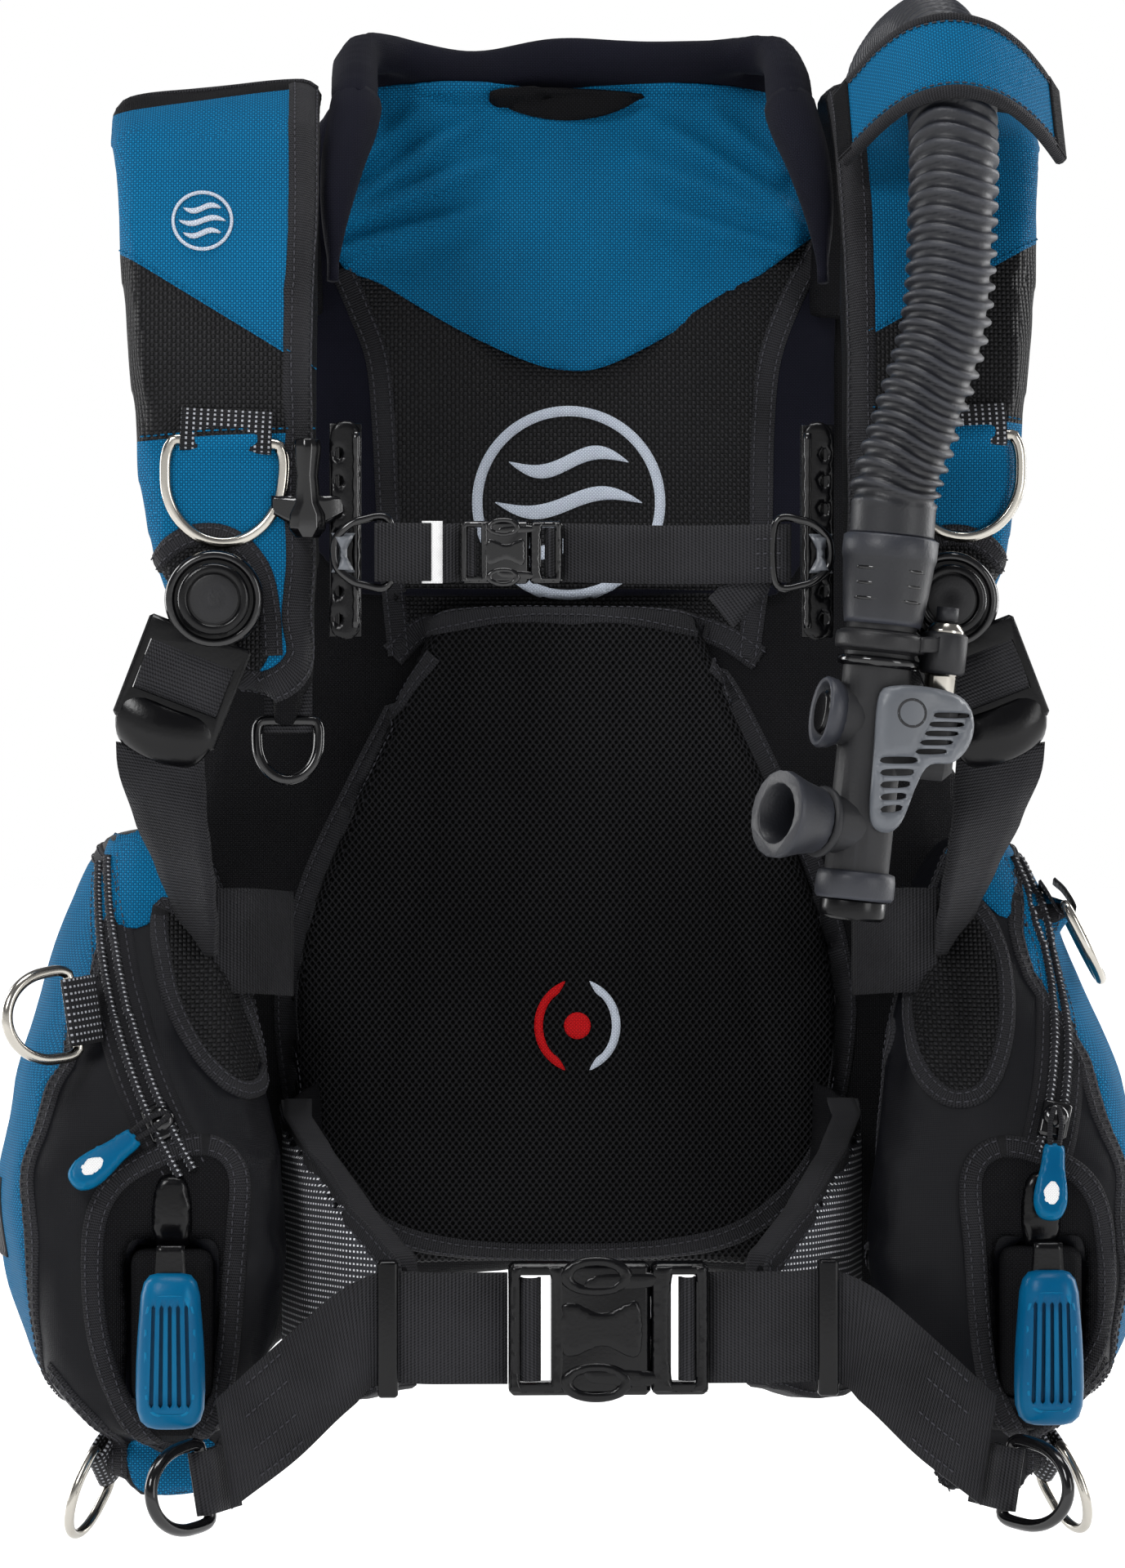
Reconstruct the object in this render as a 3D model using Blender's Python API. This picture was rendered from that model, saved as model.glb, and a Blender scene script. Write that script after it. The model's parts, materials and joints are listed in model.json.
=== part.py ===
"""A diver's buoyancy compensator vest.

It has an air cell, harness, pockets, buckles, rings, an inflator and a tank band.

Metres, +Z up. The wearer faces -Y, so the wearer's right side is at -X. The origin is on the flat
tank seat of the rigid backpack, where the cylinder's wall rests.
"""

import math

import bmesh
import bpy
from mathutils import Matrix, Vector

SIDES = {"right": -1, "left": 1}
GAP = 0.0004  # between pieces that lie on each other
WEB_THICK = 0.0024

# Depths of the layers behind the wearer, from the tank seat forwards.
CELL_CENTRE_Y = -0.0310
CELL_HALF_THICK = 0.0145
CELL_WRAP = 0.25  # how far the cell's sides come forward for each metre beyond CELL_FLAT_X
CELL_FLAT_X = 0.150
PANEL_Y = (-0.0590, -0.0476)
PAD_Y = (-0.0665, -0.0476)

# Shoulder lobes: (inner x, outer x, y, z, half thickness) from the back, over the shoulder and down
# the front.
LOBE_STATIONS = (
    (0.112, 0.150, -0.0700, 0.215, 0.0085),
    (0.112, 0.172, -0.0700, 0.258, 0.0100),
    (0.112, 0.192, -0.0800, 0.289, 0.0100),
    (0.112, 0.206, -0.1070, 0.305, 0.0100),
    (0.112, 0.209, -0.1480, 0.302, 0.0100),
    (0.112, 0.208, -0.1820, 0.284, 0.0105),
    (0.112, 0.206, -0.2040, 0.245, 0.0110),
    (0.112, 0.202, -0.2140, 0.190, 0.0110),
    (0.112, 0.196, -0.2150, 0.130, 0.0100),
    (0.112, 0.190, -0.2150, 0.095, 0.0095),
    (0.113, 0.176, -0.2150, 0.066, 0.0090),
    (0.116, 0.152, -0.2140, 0.040, 0.0080),
)
LOBE_ROLL = 0.006  # the inner edge stands this much above the outer one over the shoulder
LOBE_FRONT_Y = -0.2255

# Rings: bar half length, depth, rod radius.
SHOULDER_RING = (0.0255, 0.044, 0.0026)
CHEST_RING = (0.0135, 0.026, 0.0024)
POCKET_RING = (0.0190, 0.036, 0.0025)
HEM_RING = (0.0165, 0.034, 0.0022)
BELT_RING = (0.0175, 0.040, 0.0028)

# Each ring: size, centre of its bar, the bar's direction, the way its bow hangs, the piece whose
# webbing loop holds the bar, and the way from the bar into that piece.
RINGS = {
    "shoulder_ring_right": (
        SHOULDER_RING, (-0.1550, -0.2287, 0.1490), (1, 0, -0.05), (0, 0, -1), "shoulder_lobe_right",
        (0, 0.010, 0)
    ),
    "shoulder_ring_left": (
        SHOULDER_RING, (0.1660, -0.2287, 0.1520), (1, 0, 0.05), (0, 0, -1), "shoulder_lobe_left",
        (0, 0.010, 0)
    ),
    "chest_ring_right": (
        CHEST_RING, (-0.1280, -0.2170, 0.0275), (1, 0, 0), (0, -0.15, -1), "shoulder_lobe_right",
        (0, 0.002, 0.019)
    ),
    "chest_ring_left": (
        CHEST_RING, (0.1280, -0.2170, 0.0275), (1, 0, 0), (0, -0.15, -1), "shoulder_lobe_left",
        (0, 0.002, 0.019)
    ),
    "pocket_ring_right": (
        POCKET_RING, (-0.2220, -0.2060, -0.1000), (0.14, 0, -0.99), (-0.62, -0.55, -0.45),
        "side_pocket_right", (0, 0.022, 0)
    ),
    "pocket_ring_left": (
        POCKET_RING, (0.2220, -0.1500, -0.0560), (0.12, 1, -0.1), (0.5, 0, -1), "side_pocket_left",
        (-0.020, 0, -0.004)
    ),
    "hem_ring_right": (
        HEM_RING, (-0.2095, -0.1950, -0.3000), (-0.18, -0.8, 0.55), (-0.35, -0.2, -1),
        "side_pocket_right", (0.020, 0, 0.004)
    ),
    "hem_ring_left": (
        HEM_RING, (0.2095, -0.1950, -0.3000), (0.18, -0.8, 0.55), (0.35, -0.2, -1),
        "side_pocket_left", (-0.020, 0, 0.004)
    ),
    "belt_ring_right": (
        BELT_RING, (-0.1635, -0.2525, -0.3010), (0.15, 0, -0.99), (-0.50, -0.80, -0.3),
        "waist_strap_right", (0.014, 0.001, 0.004)
    ),
    "belt_ring_left": (
        BELT_RING, (0.1835, -0.2525, -0.3010), (-0.15, 0, -0.99), (0.50, -0.80, -0.3),
        "waist_strap_left", (-0.014, 0.001, 0.004)
    ),
}
LOOP_THICK = 0.0016
LOOP_CLEARANCE = 0.0005

# Pivot of each shoulder buckle, and the angle its strap leaves at, from straight down, outwards.
SWIVEL = Vector((0.160, -0.2355, 0.080))
SWIVEL_SPLAY = math.radians(21)
SWIVEL_POST_R = 0.0090

# Chest strap and its two rails.
RAIL_X = 0.1030
RAIL_Y = (-0.2310, -0.2210)
RAIL_Z = (0.0640, 0.1570)
CHEST_Z = 0.1005
CHEST_Y = -0.2410
CHEST_WEB = 0.0254
CHEST_BUCKLE_X = (-0.0530, -0.0235, -0.0090)  # socket's end, the parting line, plug's end

# Waist belt. Its buckle closes a little to the wearer's left.
BELT_X = 0.010
BELT_Y = -0.2585
BELT_Z = -0.2345
BELT_WEB = 0.0480
BELT_BUCKLE_X = (-0.0330, 0.0280, 0.0530)
BELT_SLIDER_X = 0.0950

# Weight pouches and their grips: centre x by side, then shared ranges.
POUCH_X = {"right": 0.1785, "left": 0.2020}
POUCH_HALF_X = 0.0180
POUCH_Y = (-0.2280, -0.1000)
POUCH_Z = (-0.2690, -0.2030)
GRIP_HALF = (0.0148, 0.0120, 0.0335)
GRIP_CENTRE_Z = -0.2445
GRIP_CENTRE_Y = -0.2500

# Pocket front: a slanting plane above POCKET_KNEE_Z, nearly upright below it.
POCKET_KNEE_Z = -0.170
POCKET_SLANT = 0.40
POCKET_FRONT_Y = -0.150
POCKET_FLARE = {"right": 0.014, "left": 0.0}  # extra width at the pocket's top

# Zip: three points (x, z) of the track on each pocket front, top to bottom.
ZIP_POINTS = {
    "right": ((0.2100, -0.036), (0.2040, -0.092), (0.1840, -0.150)),
    "left": ((0.1990, -0.036), (0.2140, -0.095), (0.2090, -0.150)),
}
ZIP_LIFT = 0.0042  # of the slider's middle above the pocket's face
PULL_ANGLE = {"right": math.radians(-52), "left": math.radians(-4)}

# Inflator, in its own frame: +Z up its barrel, origin where the hose ends.
INFLATOR_AT = Vector((0.1320, -0.2640, 0.1060))
INFLATOR_TILT = math.radians(6)
BARREL_R = 0.0150
MOUTH_AT = Vector((0.0, 0.0, -0.1260))
MOUTH_DIRECTION = Vector((-0.86, -0.50, 0.06)).normalized()
BUTTON_AT = Vector((0.0, 0.0, -0.0790))
BUTTON_DIRECTION = Vector((-0.97, -0.20, 0.06)).normalized()
NIPPLE_AT = Vector((0.0280, 0.004, -0.0630))

# Corrugated hose, from the elbow behind the left shoulder to the inflator.
HOSE_R = 0.0200
HOSE_POINTS = (
    (0.1500, 0.0130, 0.2690),
    (0.1500, 0.0125, 0.2900),
    (0.1520, 0.0020, 0.3130),
    (0.1545, -0.0200, 0.3320),
    (0.1580, -0.0560, 0.3400),
    (0.1605, -0.1020, 0.3410),
    (0.1620, -0.1500, 0.3370),
    (0.1625, -0.1960, 0.3200),
    (0.1620, -0.2330, 0.2900),
    (0.1600, -0.2520, 0.2500),
    (0.1560, -0.2590, 0.2000),
    (0.1430, -0.2620, 0.1560),
    (0.1345, -0.2640, 0.1298),
    (0.1321, -0.2640, 0.1071),
)
FLAP_CENTRE = Vector((0.1620, -0.2205, 0.3000))
FLAP_LEAN = math.radians(52)  # of the hose's run under the flap, from level
FLAP_LENGTH = 0.046

# Tank and its band.
TANK_R = 0.092
BAND_WIDTH = 0.050
BAND_Z = 0.018
LEVER_PIVOT_X = 0.0240


def clear_scene():
    for obj in list(bpy.data.objects):
        bpy.data.objects.remove(obj, do_unlink=True)


def make_material(name, colour, roughness, metallic=0.0):
    made = bpy.data.materials.new(name)
    made.use_nodes = True
    shader = made.node_tree.nodes["Principled BSDF"]
    shader.inputs["Base Color"].default_value = (*colour, 1.0)
    shader.inputs["Roughness"].default_value = roughness
    shader.inputs["Metallic"].default_value = metallic
    return made


def add_object(name, bm, material):
    """Links the bmesh as an object with its faces pointing out."""
    bmesh.ops.recalc_face_normals(bm, faces=bm.faces)
    mesh = bpy.data.meshes.new(name)
    bm.to_mesh(mesh)
    bm.free()
    mesh.materials.append(material)
    obj = bpy.data.objects.new(name, mesh)
    bpy.context.scene.collection.objects.link(obj)
    return obj


def loft(sections, cyclic=False):
    """A solid through rings of points. Open ends are capped."""
    bm = bmesh.new()
    rings = [[bm.verts.new(p) for p in section] for section in sections]
    pairs = list(zip(rings, rings[1:]))
    if cyclic:
        pairs.append((rings[-1], rings[0]))
    for low, high in pairs:
        for i in range(len(low)):
            j = (i + 1) % len(low)
            bm.faces.new((low[i], low[j], high[j], high[i]))
    if not cyclic:
        bm.faces.new(rings[0])
        bm.faces.new(rings[-1])
    return bm


def slab_section(centre, half_width, half_thick):
    """Eight points round a flat strip with chamfered edges."""
    edge = 1 - half_thick.length / half_width.length * 0.8
    corners = (
        (-1, -0.35), (-edge, -1), (edge, -1), (1, -0.35), (1, 0.35), (edge, 1), (-edge, 1),
        (-1, 0.35)
    )
    return [centre + half_width * a + half_thick * b for a, b in corners]


def strip_section(centre, half_width, half_thick):
    """Four points round a strip of webbing."""
    return [
        centre + half_width * a + half_thick * b for a, b in ((-1, -1), (1, -1), (1, 1), (-1, 1))
    ]


def tube(points, radius, sides, cyclic=False):
    """A round rod along points, its rings carried from one to the next without twist."""
    points = [Vector(p) for p in points]
    count = len(points)
    tangents = []
    for i in range(count):
        before = points[i - 1] if i or cyclic else points[0]
        after = points[(i + 1) % count] if i + 1 < count or cyclic else points[-1]
        tangents.append((after - before).normalized())
    normal = tangents[0].orthogonal().normalized()
    sections = []
    for point, tangent in zip(points, tangents):
        normal = (normal - tangent * normal.dot(tangent)).normalized()
        binormal = tangent.cross(normal)
        turns = [2 * math.pi * (k + 0.5) / sides for k in range(sides)]
        sections.append(
            [point + (normal * math.cos(a) + binormal * math.sin(a)) * radius for a in turns]
        )
    return loft(sections, cyclic)


def smooth_line(points, step):
    """Points about step apart along a Catmull-Rom curve through the given ones."""
    points = [Vector(p) for p in points]
    padded = [2 * points[0] - points[1], *points, 2 * points[-1] - points[-2]]
    line = []
    for a, b, c, d in zip(padded, padded[1:], padded[2:], padded[3:]):
        pieces = max(1, round((c - b).length / step))
        for k in range(pieces):
            t = k / pieces
            line.append(
                0.5 * (
                    2 * b + (c - a) * t + (
                        2 * a - 5 * b + 4 * c - d
                    ) * t**2 + (3 * b - a - 3 * c + d) * t**3
                )
            )
    return [*line, points[-1]]


def lathe(profile, steps=20):
    """A solid of revolution about Z from (radius, height) points.
    A profile that never meets the axis is closed on itself."""
    bm = bmesh.new()
    on_axis = profile[0][0] == 0
    rings = []
    for radius, height in profile:
        if radius == 0:
            rings.append([bm.verts.new((0, 0, height))])
        else:
            turns = [2 * math.pi * k / steps for k in range(steps)]
            rings.append(
                [bm.verts.new((radius * math.cos(a), radius * math.sin(a), height)) for a in turns]
            )
    pairs = list(zip(rings, rings[1:]))
    if not on_axis:
        pairs.append((rings[-1], rings[0]))
    for low, high in pairs:
        for k in range(steps):
            n = (k + 1) % steps
            corners = [
                low[k % len(low)], low[n % len(low)], high[n % len(high)], high[k % len(high)]
            ]
            bm.faces.new(list(dict.fromkeys(corners)))
    return bm


def block(low, high):
    """A box between two corners."""
    bm = bmesh.new()
    bmesh.ops.create_cube(bm, size=1)
    low, high = Vector(low), Vector(high)
    bmesh.ops.scale(bm, vec=high - low, verts=bm.verts)
    bmesh.ops.translate(bm, vec=(low + high) / 2, verts=bm.verts)
    return bm


def bevelled(bm, width, segments=1):
    bmesh.ops.bevel(
        bm, geom=bm.edges[:], offset=width, segments=segments, affect="EDGES", profile=0.5
    )
    return bm


def aim(direction, at=(0, 0, 0)):
    """The matrix that carries +Z to direction and the origin to at."""
    return Matrix.Translation(Vector(at)) @ Vector(direction).to_track_quat("Z", "Y").to_matrix().to_4x4()


def moved(bm, matrix):
    bmesh.ops.transform(bm, matrix=matrix, verts=bm.verts)
    return bm


def merge(obj, bm, operation="UNION"):
    """Joins the bmesh to obj, or cuts it away, and applies the result."""
    tool = add_object(obj.name + "_tool", bm, obj.data.materials[0])
    change = obj.modifiers.new(operation.lower(), "BOOLEAN")
    change.operation = operation
    change.solver = "EXACT"
    change.object = tool
    graph = bpy.context.evaluated_depsgraph_get()
    mesh = bpy.data.meshes.new_from_object(obj.evaluated_get(graph))
    obj.modifiers.clear()
    old = obj.data
    obj.data = mesh
    bpy.data.meshes.remove(old)
    bpy.data.objects.remove(tool, do_unlink=True)
    return obj


def rounded(obj, angle=35):
    obj.data.shade_smooth()
    obj.data.set_sharp_from_angle(angle=math.radians(angle))
    return obj


def cell_front(x):
    """Y of the air cell's front surface at a distance x from the middle."""
    return CELL_CENTRE_Y - CELL_WRAP * max(0.0, abs(x) - CELL_FLAT_X) - CELL_HALF_THICK


def pocket_front(z):
    """Y of a pocket's front face."""
    return POCKET_FRONT_Y + POCKET_SLANT * max(z, POCKET_KNEE_Z) + 0.07 * min(
        0.0, z - POCKET_KNEE_Z
    )


def build_air_cell(cloth):
    """The inflatable back shell: wide and wrapping forward at the hips, narrow at the shoulders."""
    levels = (
        (0.300, 0.130, 0.4), (0.285, 0.165, 0.8), (0.240, 0.190, 1.0), (0.120, 0.182, 1.0),
        (0.030, 0.182, 1.0), (-0.060, 0.215, 1.0), (-0.140, 0.232, 1.0), (-0.220, 0.232, 1.0),
        (-0.280, 0.205, 0.9), (-0.305, 0.165, 0.5)
    )
    across = (-1.0, -0.85, -0.55, 0.0, 0.55, 0.85, 1.0)
    sections = []
    for z, half, fat in levels:
        front, back = [], []
        for a in across:
            x = a * half
            thick = CELL_HALF_THICK * fat * (0.35 if abs(a) == 1 else 1.0)
            middle = cell_front(x) + CELL_HALF_THICK
            height = z + 0.072 * (1 - a**4) * max(0.0, (-0.22 - z) / 0.085)
            front.append(Vector((x, middle - thick, height)))
            back.append(Vector((x, middle + thick, height)))
        sections.append(front + back[::-1])
    bm = loft(sections)
    # The bottom edge is arched, so a strip of faces closes it.
    bm.faces.ensure_lookup_table()
    cap = bm.faces[-1]
    rim = list(cap.verts)
    bm.faces.remove(cap)
    for i in range(len(across) - 1):
        bm.faces.new((rim[i], rim[i + 1], rim[-i - 2], rim[-i - 1]))
    rounded(add_object("air_cell", bm, cloth), 60)


def flat_panel(name, widths, y_range, material):
    """A slab behind the wearer, from (z, half width) levels."""
    middle = (y_range[0] + y_range[1]) / 2
    half = (y_range[1] - y_range[0]) / 2
    sections = [
        slab_section(Vector((0, middle, z)), Vector((w, 0, 0)), Vector((0, half, 0))) for z,
        w in widths
    ]
    return rounded(add_object(name, loft(sections), material), 60)


def build_back(cloth, mesh_cloth):
    panel = flat_panel(
        "back_panel",
        (
            (0.336, 0.096), (0.300, 0.122), (0.250, 0.130), (0.160, 0.128), (0.110, 0.120),
            (0.0862, 0.100)
        ),
        PANEL_Y, cloth
    )
    half = (
        (0.098, -0.152, 0.298), (0.098, -0.122, 0.316), (0.095, -0.088, 0.331),
        (0.078, -0.0680, 0.337), (0.035, -0.0640, 0.336)
    )
    roll = [(-x, y, z) for x, y, z in half] + [(0, -0.0640, 0.335)] + [
        (x, y, z) for x, y, z in half[::-1]
    ]
    merge(panel, tube(smooth_line(roll, 0.02), 0.0115, 8))
    levels = (
        (0.0855, 0.062), (0.040, 0.082), (-0.010, 0.104), (-0.060, 0.124), (-0.100, 0.132),
        (-0.160, 0.130), (-0.205, 0.118), (-0.226, 0.098)
    )
    flat_panel("back_pad", levels, PAD_Y, mesh_cloth)


def build_backpack(plastic):
    """The rigid plate that the cylinder stands against.

    It has a flat seat, two cradle ribs and the band's slots.
    """
    plate = add_object(
        "backpack", bevelled(block((-0.088, -0.0128, -0.165), (0.088, -0.0055, 0.175)), 0.003),
        plastic
    )
    merge(plate, block((-0.012, -0.0100, -0.130), (0.012, 0.0, 0.130)))
    rib_x = 0.046
    rib_top = TANK_R - math.sqrt(TANK_R**2 - rib_x**2) - 0.0006
    for side in (-1, 1):
        merge(
            plate,
            block((side * rib_x - 0.004, -0.0100, -0.120), (side * rib_x + 0.004, rib_top, 0.120))
        )
        slot = block(
            (side * 0.0765 - 0.0035, -0.03, BAND_Z - 0.028),
            (side * 0.0765 + 0.0035, 0.01, BAND_Z + 0.028)
        )
        merge(plate, slot, "DIFFERENCE")


def build_grab_handle(rubber):
    """The carrying loop at the top of the backpack."""
    outline = (
        (-0.050, -0.0050, 0.181), (-0.047, 0.018, 0.196), (-0.034, 0.034, 0.206),
        (0.034, 0.034, 0.206), (0.047, 0.018, 0.196), (0.050, -0.0050, 0.181)
    )
    rounded(add_object("grab_handle", tube(smooth_line(outline, 0.014), 0.0075, 8), rubber))


def build_tank_band(webbing, plastic):
    """The strap round the cylinder, its cam buckle, and the lever that tightens it."""
    centre_y = TANK_R
    radius = TANK_R + 0.0022
    start = math.radians(50)
    turns = [start + (2 * math.pi - 2 * start) * k / 30 for k in range(31)]
    arc = [Vector((radius * math.sin(a), centre_y - radius * math.cos(a), BAND_Z)) for a in turns]
    entry = (Vector((0.0765, -0.0030, BAND_Z)), Vector((0.0775, 0.0150, BAND_Z)))
    line = [*entry, *arc, *[Vector((-p.x, p.y, p.z)) for p in entry[::-1]]]
    sections = []
    for i, point in enumerate(line):
        along = (line[min(i + 1, len(line) - 1)] - line[max(i - 1, 0)]).normalized()
        out = along.cross(Vector((0, 0, 1))).normalized()
        sections.append(strip_section(point, Vector((0, 0, BAND_WIDTH / 2)), out * WEB_THICK / 2))
    add_object("tank_band", loft(sections), webbing)
    back = centre_y + radius + WEB_THICK / 2 + GAP
    frame = add_object(
        "cam_buckle",
        bevelled(
            block((-0.033, back, BAND_Z - 0.031), (0.033, back + 0.0055, BAND_Z + 0.031)), 0.0012
        ),
        plastic
    )
    merge(
        frame,
        block((-0.008, back - 0.01, BAND_Z - 0.0255), (-0.002, back + 0.02, BAND_Z + 0.0255)),
        "DIFFERENCE"
    )
    for end in (-1, 1):
        z = BAND_Z + end * 0.0280
        merge(frame, block((0.016, back + 0.004, z - 0.0026), (0.030, back + 0.0165, z + 0.0026)))
    low = back + 0.0075
    lever_z = 0.0248
    lever = add_object(
        "cam_lever",
        bevelled(
            block(
                (-0.045, low, BAND_Z - lever_z),
                (LEVER_PIVOT_X + 0.0030, low + 0.0060, BAND_Z + lever_z)
            ),
            0.0012
        ),
        plastic
    )
    merge(
        lever, block((-0.060, low + 0.0008, BAND_Z - 0.016), (-0.040, low + 0.0052, BAND_Z + 0.016))
    )


def lobe_sections(sign):
    """Rings round a shoulder lobe, from its back end to its front end."""
    stations = LOBE_STATIONS
    sections = []
    for i, (inner, outer, y, z, half_thick) in enumerate(stations):
        before, after = stations[max(i - 1, 0)], stations[min(i + 1, len(stations) - 1)]
        along = Vector((0, after[2] - before[2], after[3] - before[3])).normalized()
        out = Vector((0, along.z, -along.y))
        level = 1 - abs(along.z)
        width = Vector((sign * (outer - inner) / 2, 0, -LOBE_ROLL * level))
        sections.append(
            slab_section(Vector((sign * (inner + outer) / 2, y, z)), width, out * half_thick)
        )
    return sections


def build_swivel(side, sign, plastic):
    """The post and cap on the lobe, and the strap adjuster that turns on it."""
    pivot = Vector((sign * SWIVEL.x, SWIVEL.y, SWIVEL.z))
    forward = aim((0, -1, 0), pivot)
    base_profile = (
        (0, -0.0095), (0.0215, -0.0095), (0.0215, -0.0065), (SWIVEL_POST_R, -0.0065),
        (SWIVEL_POST_R, 0.0055), (0.0155, 0.0055), (0.0155, 0.0085), (0.0135, 0.0095), (0, 0.0095)
    )
    rounded(add_object(f"swivel_base_{side}", moved(lathe(base_profile, 24), forward), plastic))
    inner = SWIVEL_POST_R + 0.0006
    eye_profile = (
        (inner, -0.0060), (0.0212, -0.0060), (0.0212, 0.0035), (0.0195, 0.0048), (inner, 0.0048)
    )
    lock = add_object(f"ladder_lock_{side}", moved(lathe(eye_profile, 24), forward), plastic)
    frame = add_object(
        "frame", bevelled(block((-0.0235, -0.0050, -0.0620), (0.0235, 0.0030, -0.0150)), 0.0015),
        plastic
    )
    # The window clears the post, and the two slots leave the bar that the webbing turns round.
    for low, high in ((-0.0330, -0.0255), (-0.0480, -0.0380)):
        merge(frame, block((-0.0195, -0.02, low), (0.0195, 0.02, high)), "DIFFERENCE")
    merge(
        frame,
        moved(lathe(((0, -0.02), (0.0195, -0.02), (0.0195, 0.02), (0, 0.02)), 24), aim((0, -1, 0))),
        "DIFFERENCE"
    )
    bm = bmesh.new()
    bm.from_mesh(frame.data)
    bpy.data.objects.remove(frame, do_unlink=True)
    merge(
        lock, moved(bm, Matrix.Translation(pivot) @ Matrix.Rotation(-sign * SWIVEL_SPLAY, 4, "Y"))
    )


def build_adjuster_strap(side, sign, webbing):
    """Webbing from under the shoulder buckle down and back to the hip."""
    stations = (
        ((0.1830, -0.2220, 0.0080), (0.0195, -0.004, 0.003)),
        ((0.1760, -0.2060, -0.0200), (0.0190, 0.004, 0.004)),
        ((0.1470, -0.1895, -0.0550), (0.0150, 0.011, 0.004)),
        ((0.1260, -0.1500, -0.0980), (0.0060, 0.0180, 0.004))
    )
    sections = []
    for i, (centre, width) in enumerate(stations):
        here = Vector(centre)
        after = Vector(stations[min(i + 1, 3)][0]) - Vector(stations[max(i - 1, 0)][0])
        thick = after.cross(Vector(width)).normalized() * WEB_THICK / 2
        section = strip_section(here, Vector(width), thick)
        sections.append([Vector((sign * p.x, p.y, p.z)) for p in section])
    add_object(f"adjuster_strap_{side}", loft(sections), webbing)


def ring_outline(half, depth):
    """A D: its bar on the X axis and its bow towards -Z, centred on the bar."""
    corner = 0.28 * half
    side_end = -0.35 * depth
    bow = depth + side_end
    points = [
        (-half + corner, 0.0), (half - corner, 0.0), (half - 0.25 * corner, -0.3 * corner),
        (half, -1.1 * corner), (half, side_end)
    ]
    steps = 8
    for k in range(1, steps):
        a = math.pi * k / steps
        points.append((half * math.cos(a), side_end - bow * math.sin(a)))
    points += [(-half, side_end), (-half, -1.1 * corner), (-half + 0.25 * corner, -0.3 * corner)]
    return points


def build_ring(name, metal):
    """A D ring hanging by its bar in a webbing loop, which is joined to the piece that carries it."""
    (half, depth, rod), at, bar, bow, host, inwards = RINGS[name]
    at, bar, bow, inwards = Vector(at), Vector(bar).normalized(), Vector(bow), Vector(inwards)
    bow = (bow - bar * bow.dot(bar)).normalized()
    points = [at + bar * a - bow * b for a, b in ring_outline(half, depth)]
    rounded(add_object(name, tube(points, rod, 8, cyclic=True), metal))
    inwards -= bar * inwards.dot(bar)
    across = bar.cross(inwards).normalized() * (rod + LOOP_THICK)
    along = bar * half * 0.60
    start = at - inwards.normalized() * (rod + LOOP_THICK)
    loop = loft([strip_section(start, along, across), strip_section(at + inwards, along, across)])
    holder = merge(bpy.data.objects[host], loop)
    bore = lathe(
        ((0, -half), (rod + LOOP_CLEARANCE, -half), (rod + LOOP_CLEARANCE, half), (0, half)), 8
    )
    merge(holder, moved(bore, aim(bar, at)), "DIFFERENCE")


def build_lobe(side, sign, cloth, plastic):
    rounded(add_object(f"shoulder_lobe_{side}", loft(lobe_sections(sign)), cloth), 60)
    x = sign * RAIL_X
    rail = add_object(
        f"sternum_rail_{side}",
        block((x - 0.0070, RAIL_Y[0], RAIL_Z[0]), (x + 0.0070, RAIL_Y[1], RAIL_Z[1])), plastic
    )
    merge(
        rail,
        block(
            (x - 0.0026, RAIL_Y[0] - 0.01, RAIL_Z[0] + 0.004),
            (x + 0.0026, RAIL_Y[1] - 0.003, RAIL_Z[1] - 0.004)
        ),
        "DIFFERENCE"
    )
    merge(
        rail,
        block(
            (x - 0.0048, RAIL_Y[0] + 0.0025, RAIL_Z[0] + 0.004),
            (x + 0.0048, RAIL_Y[1] - 0.003, RAIL_Z[1] - 0.004)
        ),
        "DIFFERENCE"
    )


def build_chest_strap(webbing, plastic):
    """Two lengths of webbing with hooks that run in the rails, and the buckle between them."""
    socket_end, parting, plug_end = CHEST_BUCKLE_X
    half = CHEST_WEB / 2
    for side, sign, buckle_end in (("right", -1, socket_end), ("left", 1, plug_end)):
        web_end = sign * 0.0860
        low, high = sorted((buckle_end + sign * GAP, web_end))
        strap = add_object(
            f"sternum_strap_{side}",
            block(
                (low, CHEST_Y - WEB_THICK / 2, CHEST_Z - half),
                (high, CHEST_Y + WEB_THICK / 2, CHEST_Z + half)
            ),
            webbing
        )
        hook = [
            (web_end - sign * 0.002, CHEST_Y, CHEST_Z - 0.0125),
            (web_end + sign * 0.012, CHEST_Y, CHEST_Z - 0.0125),
            (sign * (RAIL_X + 0.004), CHEST_Y + 0.001, CHEST_Z - 0.0050),
            (sign * (RAIL_X + 0.004), CHEST_Y + 0.001, CHEST_Z + 0.0050),
            (web_end + sign * 0.012, CHEST_Y, CHEST_Z + 0.0125),
            (web_end - sign * 0.002, CHEST_Y, CHEST_Z + 0.0125)
        ]
        merge(strap, tube(hook, 0.0018, 6, cyclic=True))
        x = sign * RAIL_X
        merge(
            strap,
            block(
                (x - 0.0019, CHEST_Y - 0.0005, CHEST_Z - 0.0070),
                (x + 0.0051, RAIL_Y[0] - 0.0012, CHEST_Z + 0.0070)
            )
        )
        merge(
            strap,
            block(
                (x - 0.0019, RAIL_Y[0] - 0.0030, CHEST_Z - 0.0050),
                (x + 0.0019, RAIL_Y[0] + 0.0045, CHEST_Z + 0.0050)
            )
        )
        merge(
            strap,
            block(
                (x - 0.0041, RAIL_Y[0] + 0.0032, CHEST_Z - 0.0050),
                (x + 0.0041, RAIL_Y[0] + 0.0062, CHEST_Z + 0.0050)
            )
        )
    build_buckle("sternum", CHEST_BUCKLE_X, CHEST_Y, CHEST_Z, 0.0135, 0.0050, plastic)


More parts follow.
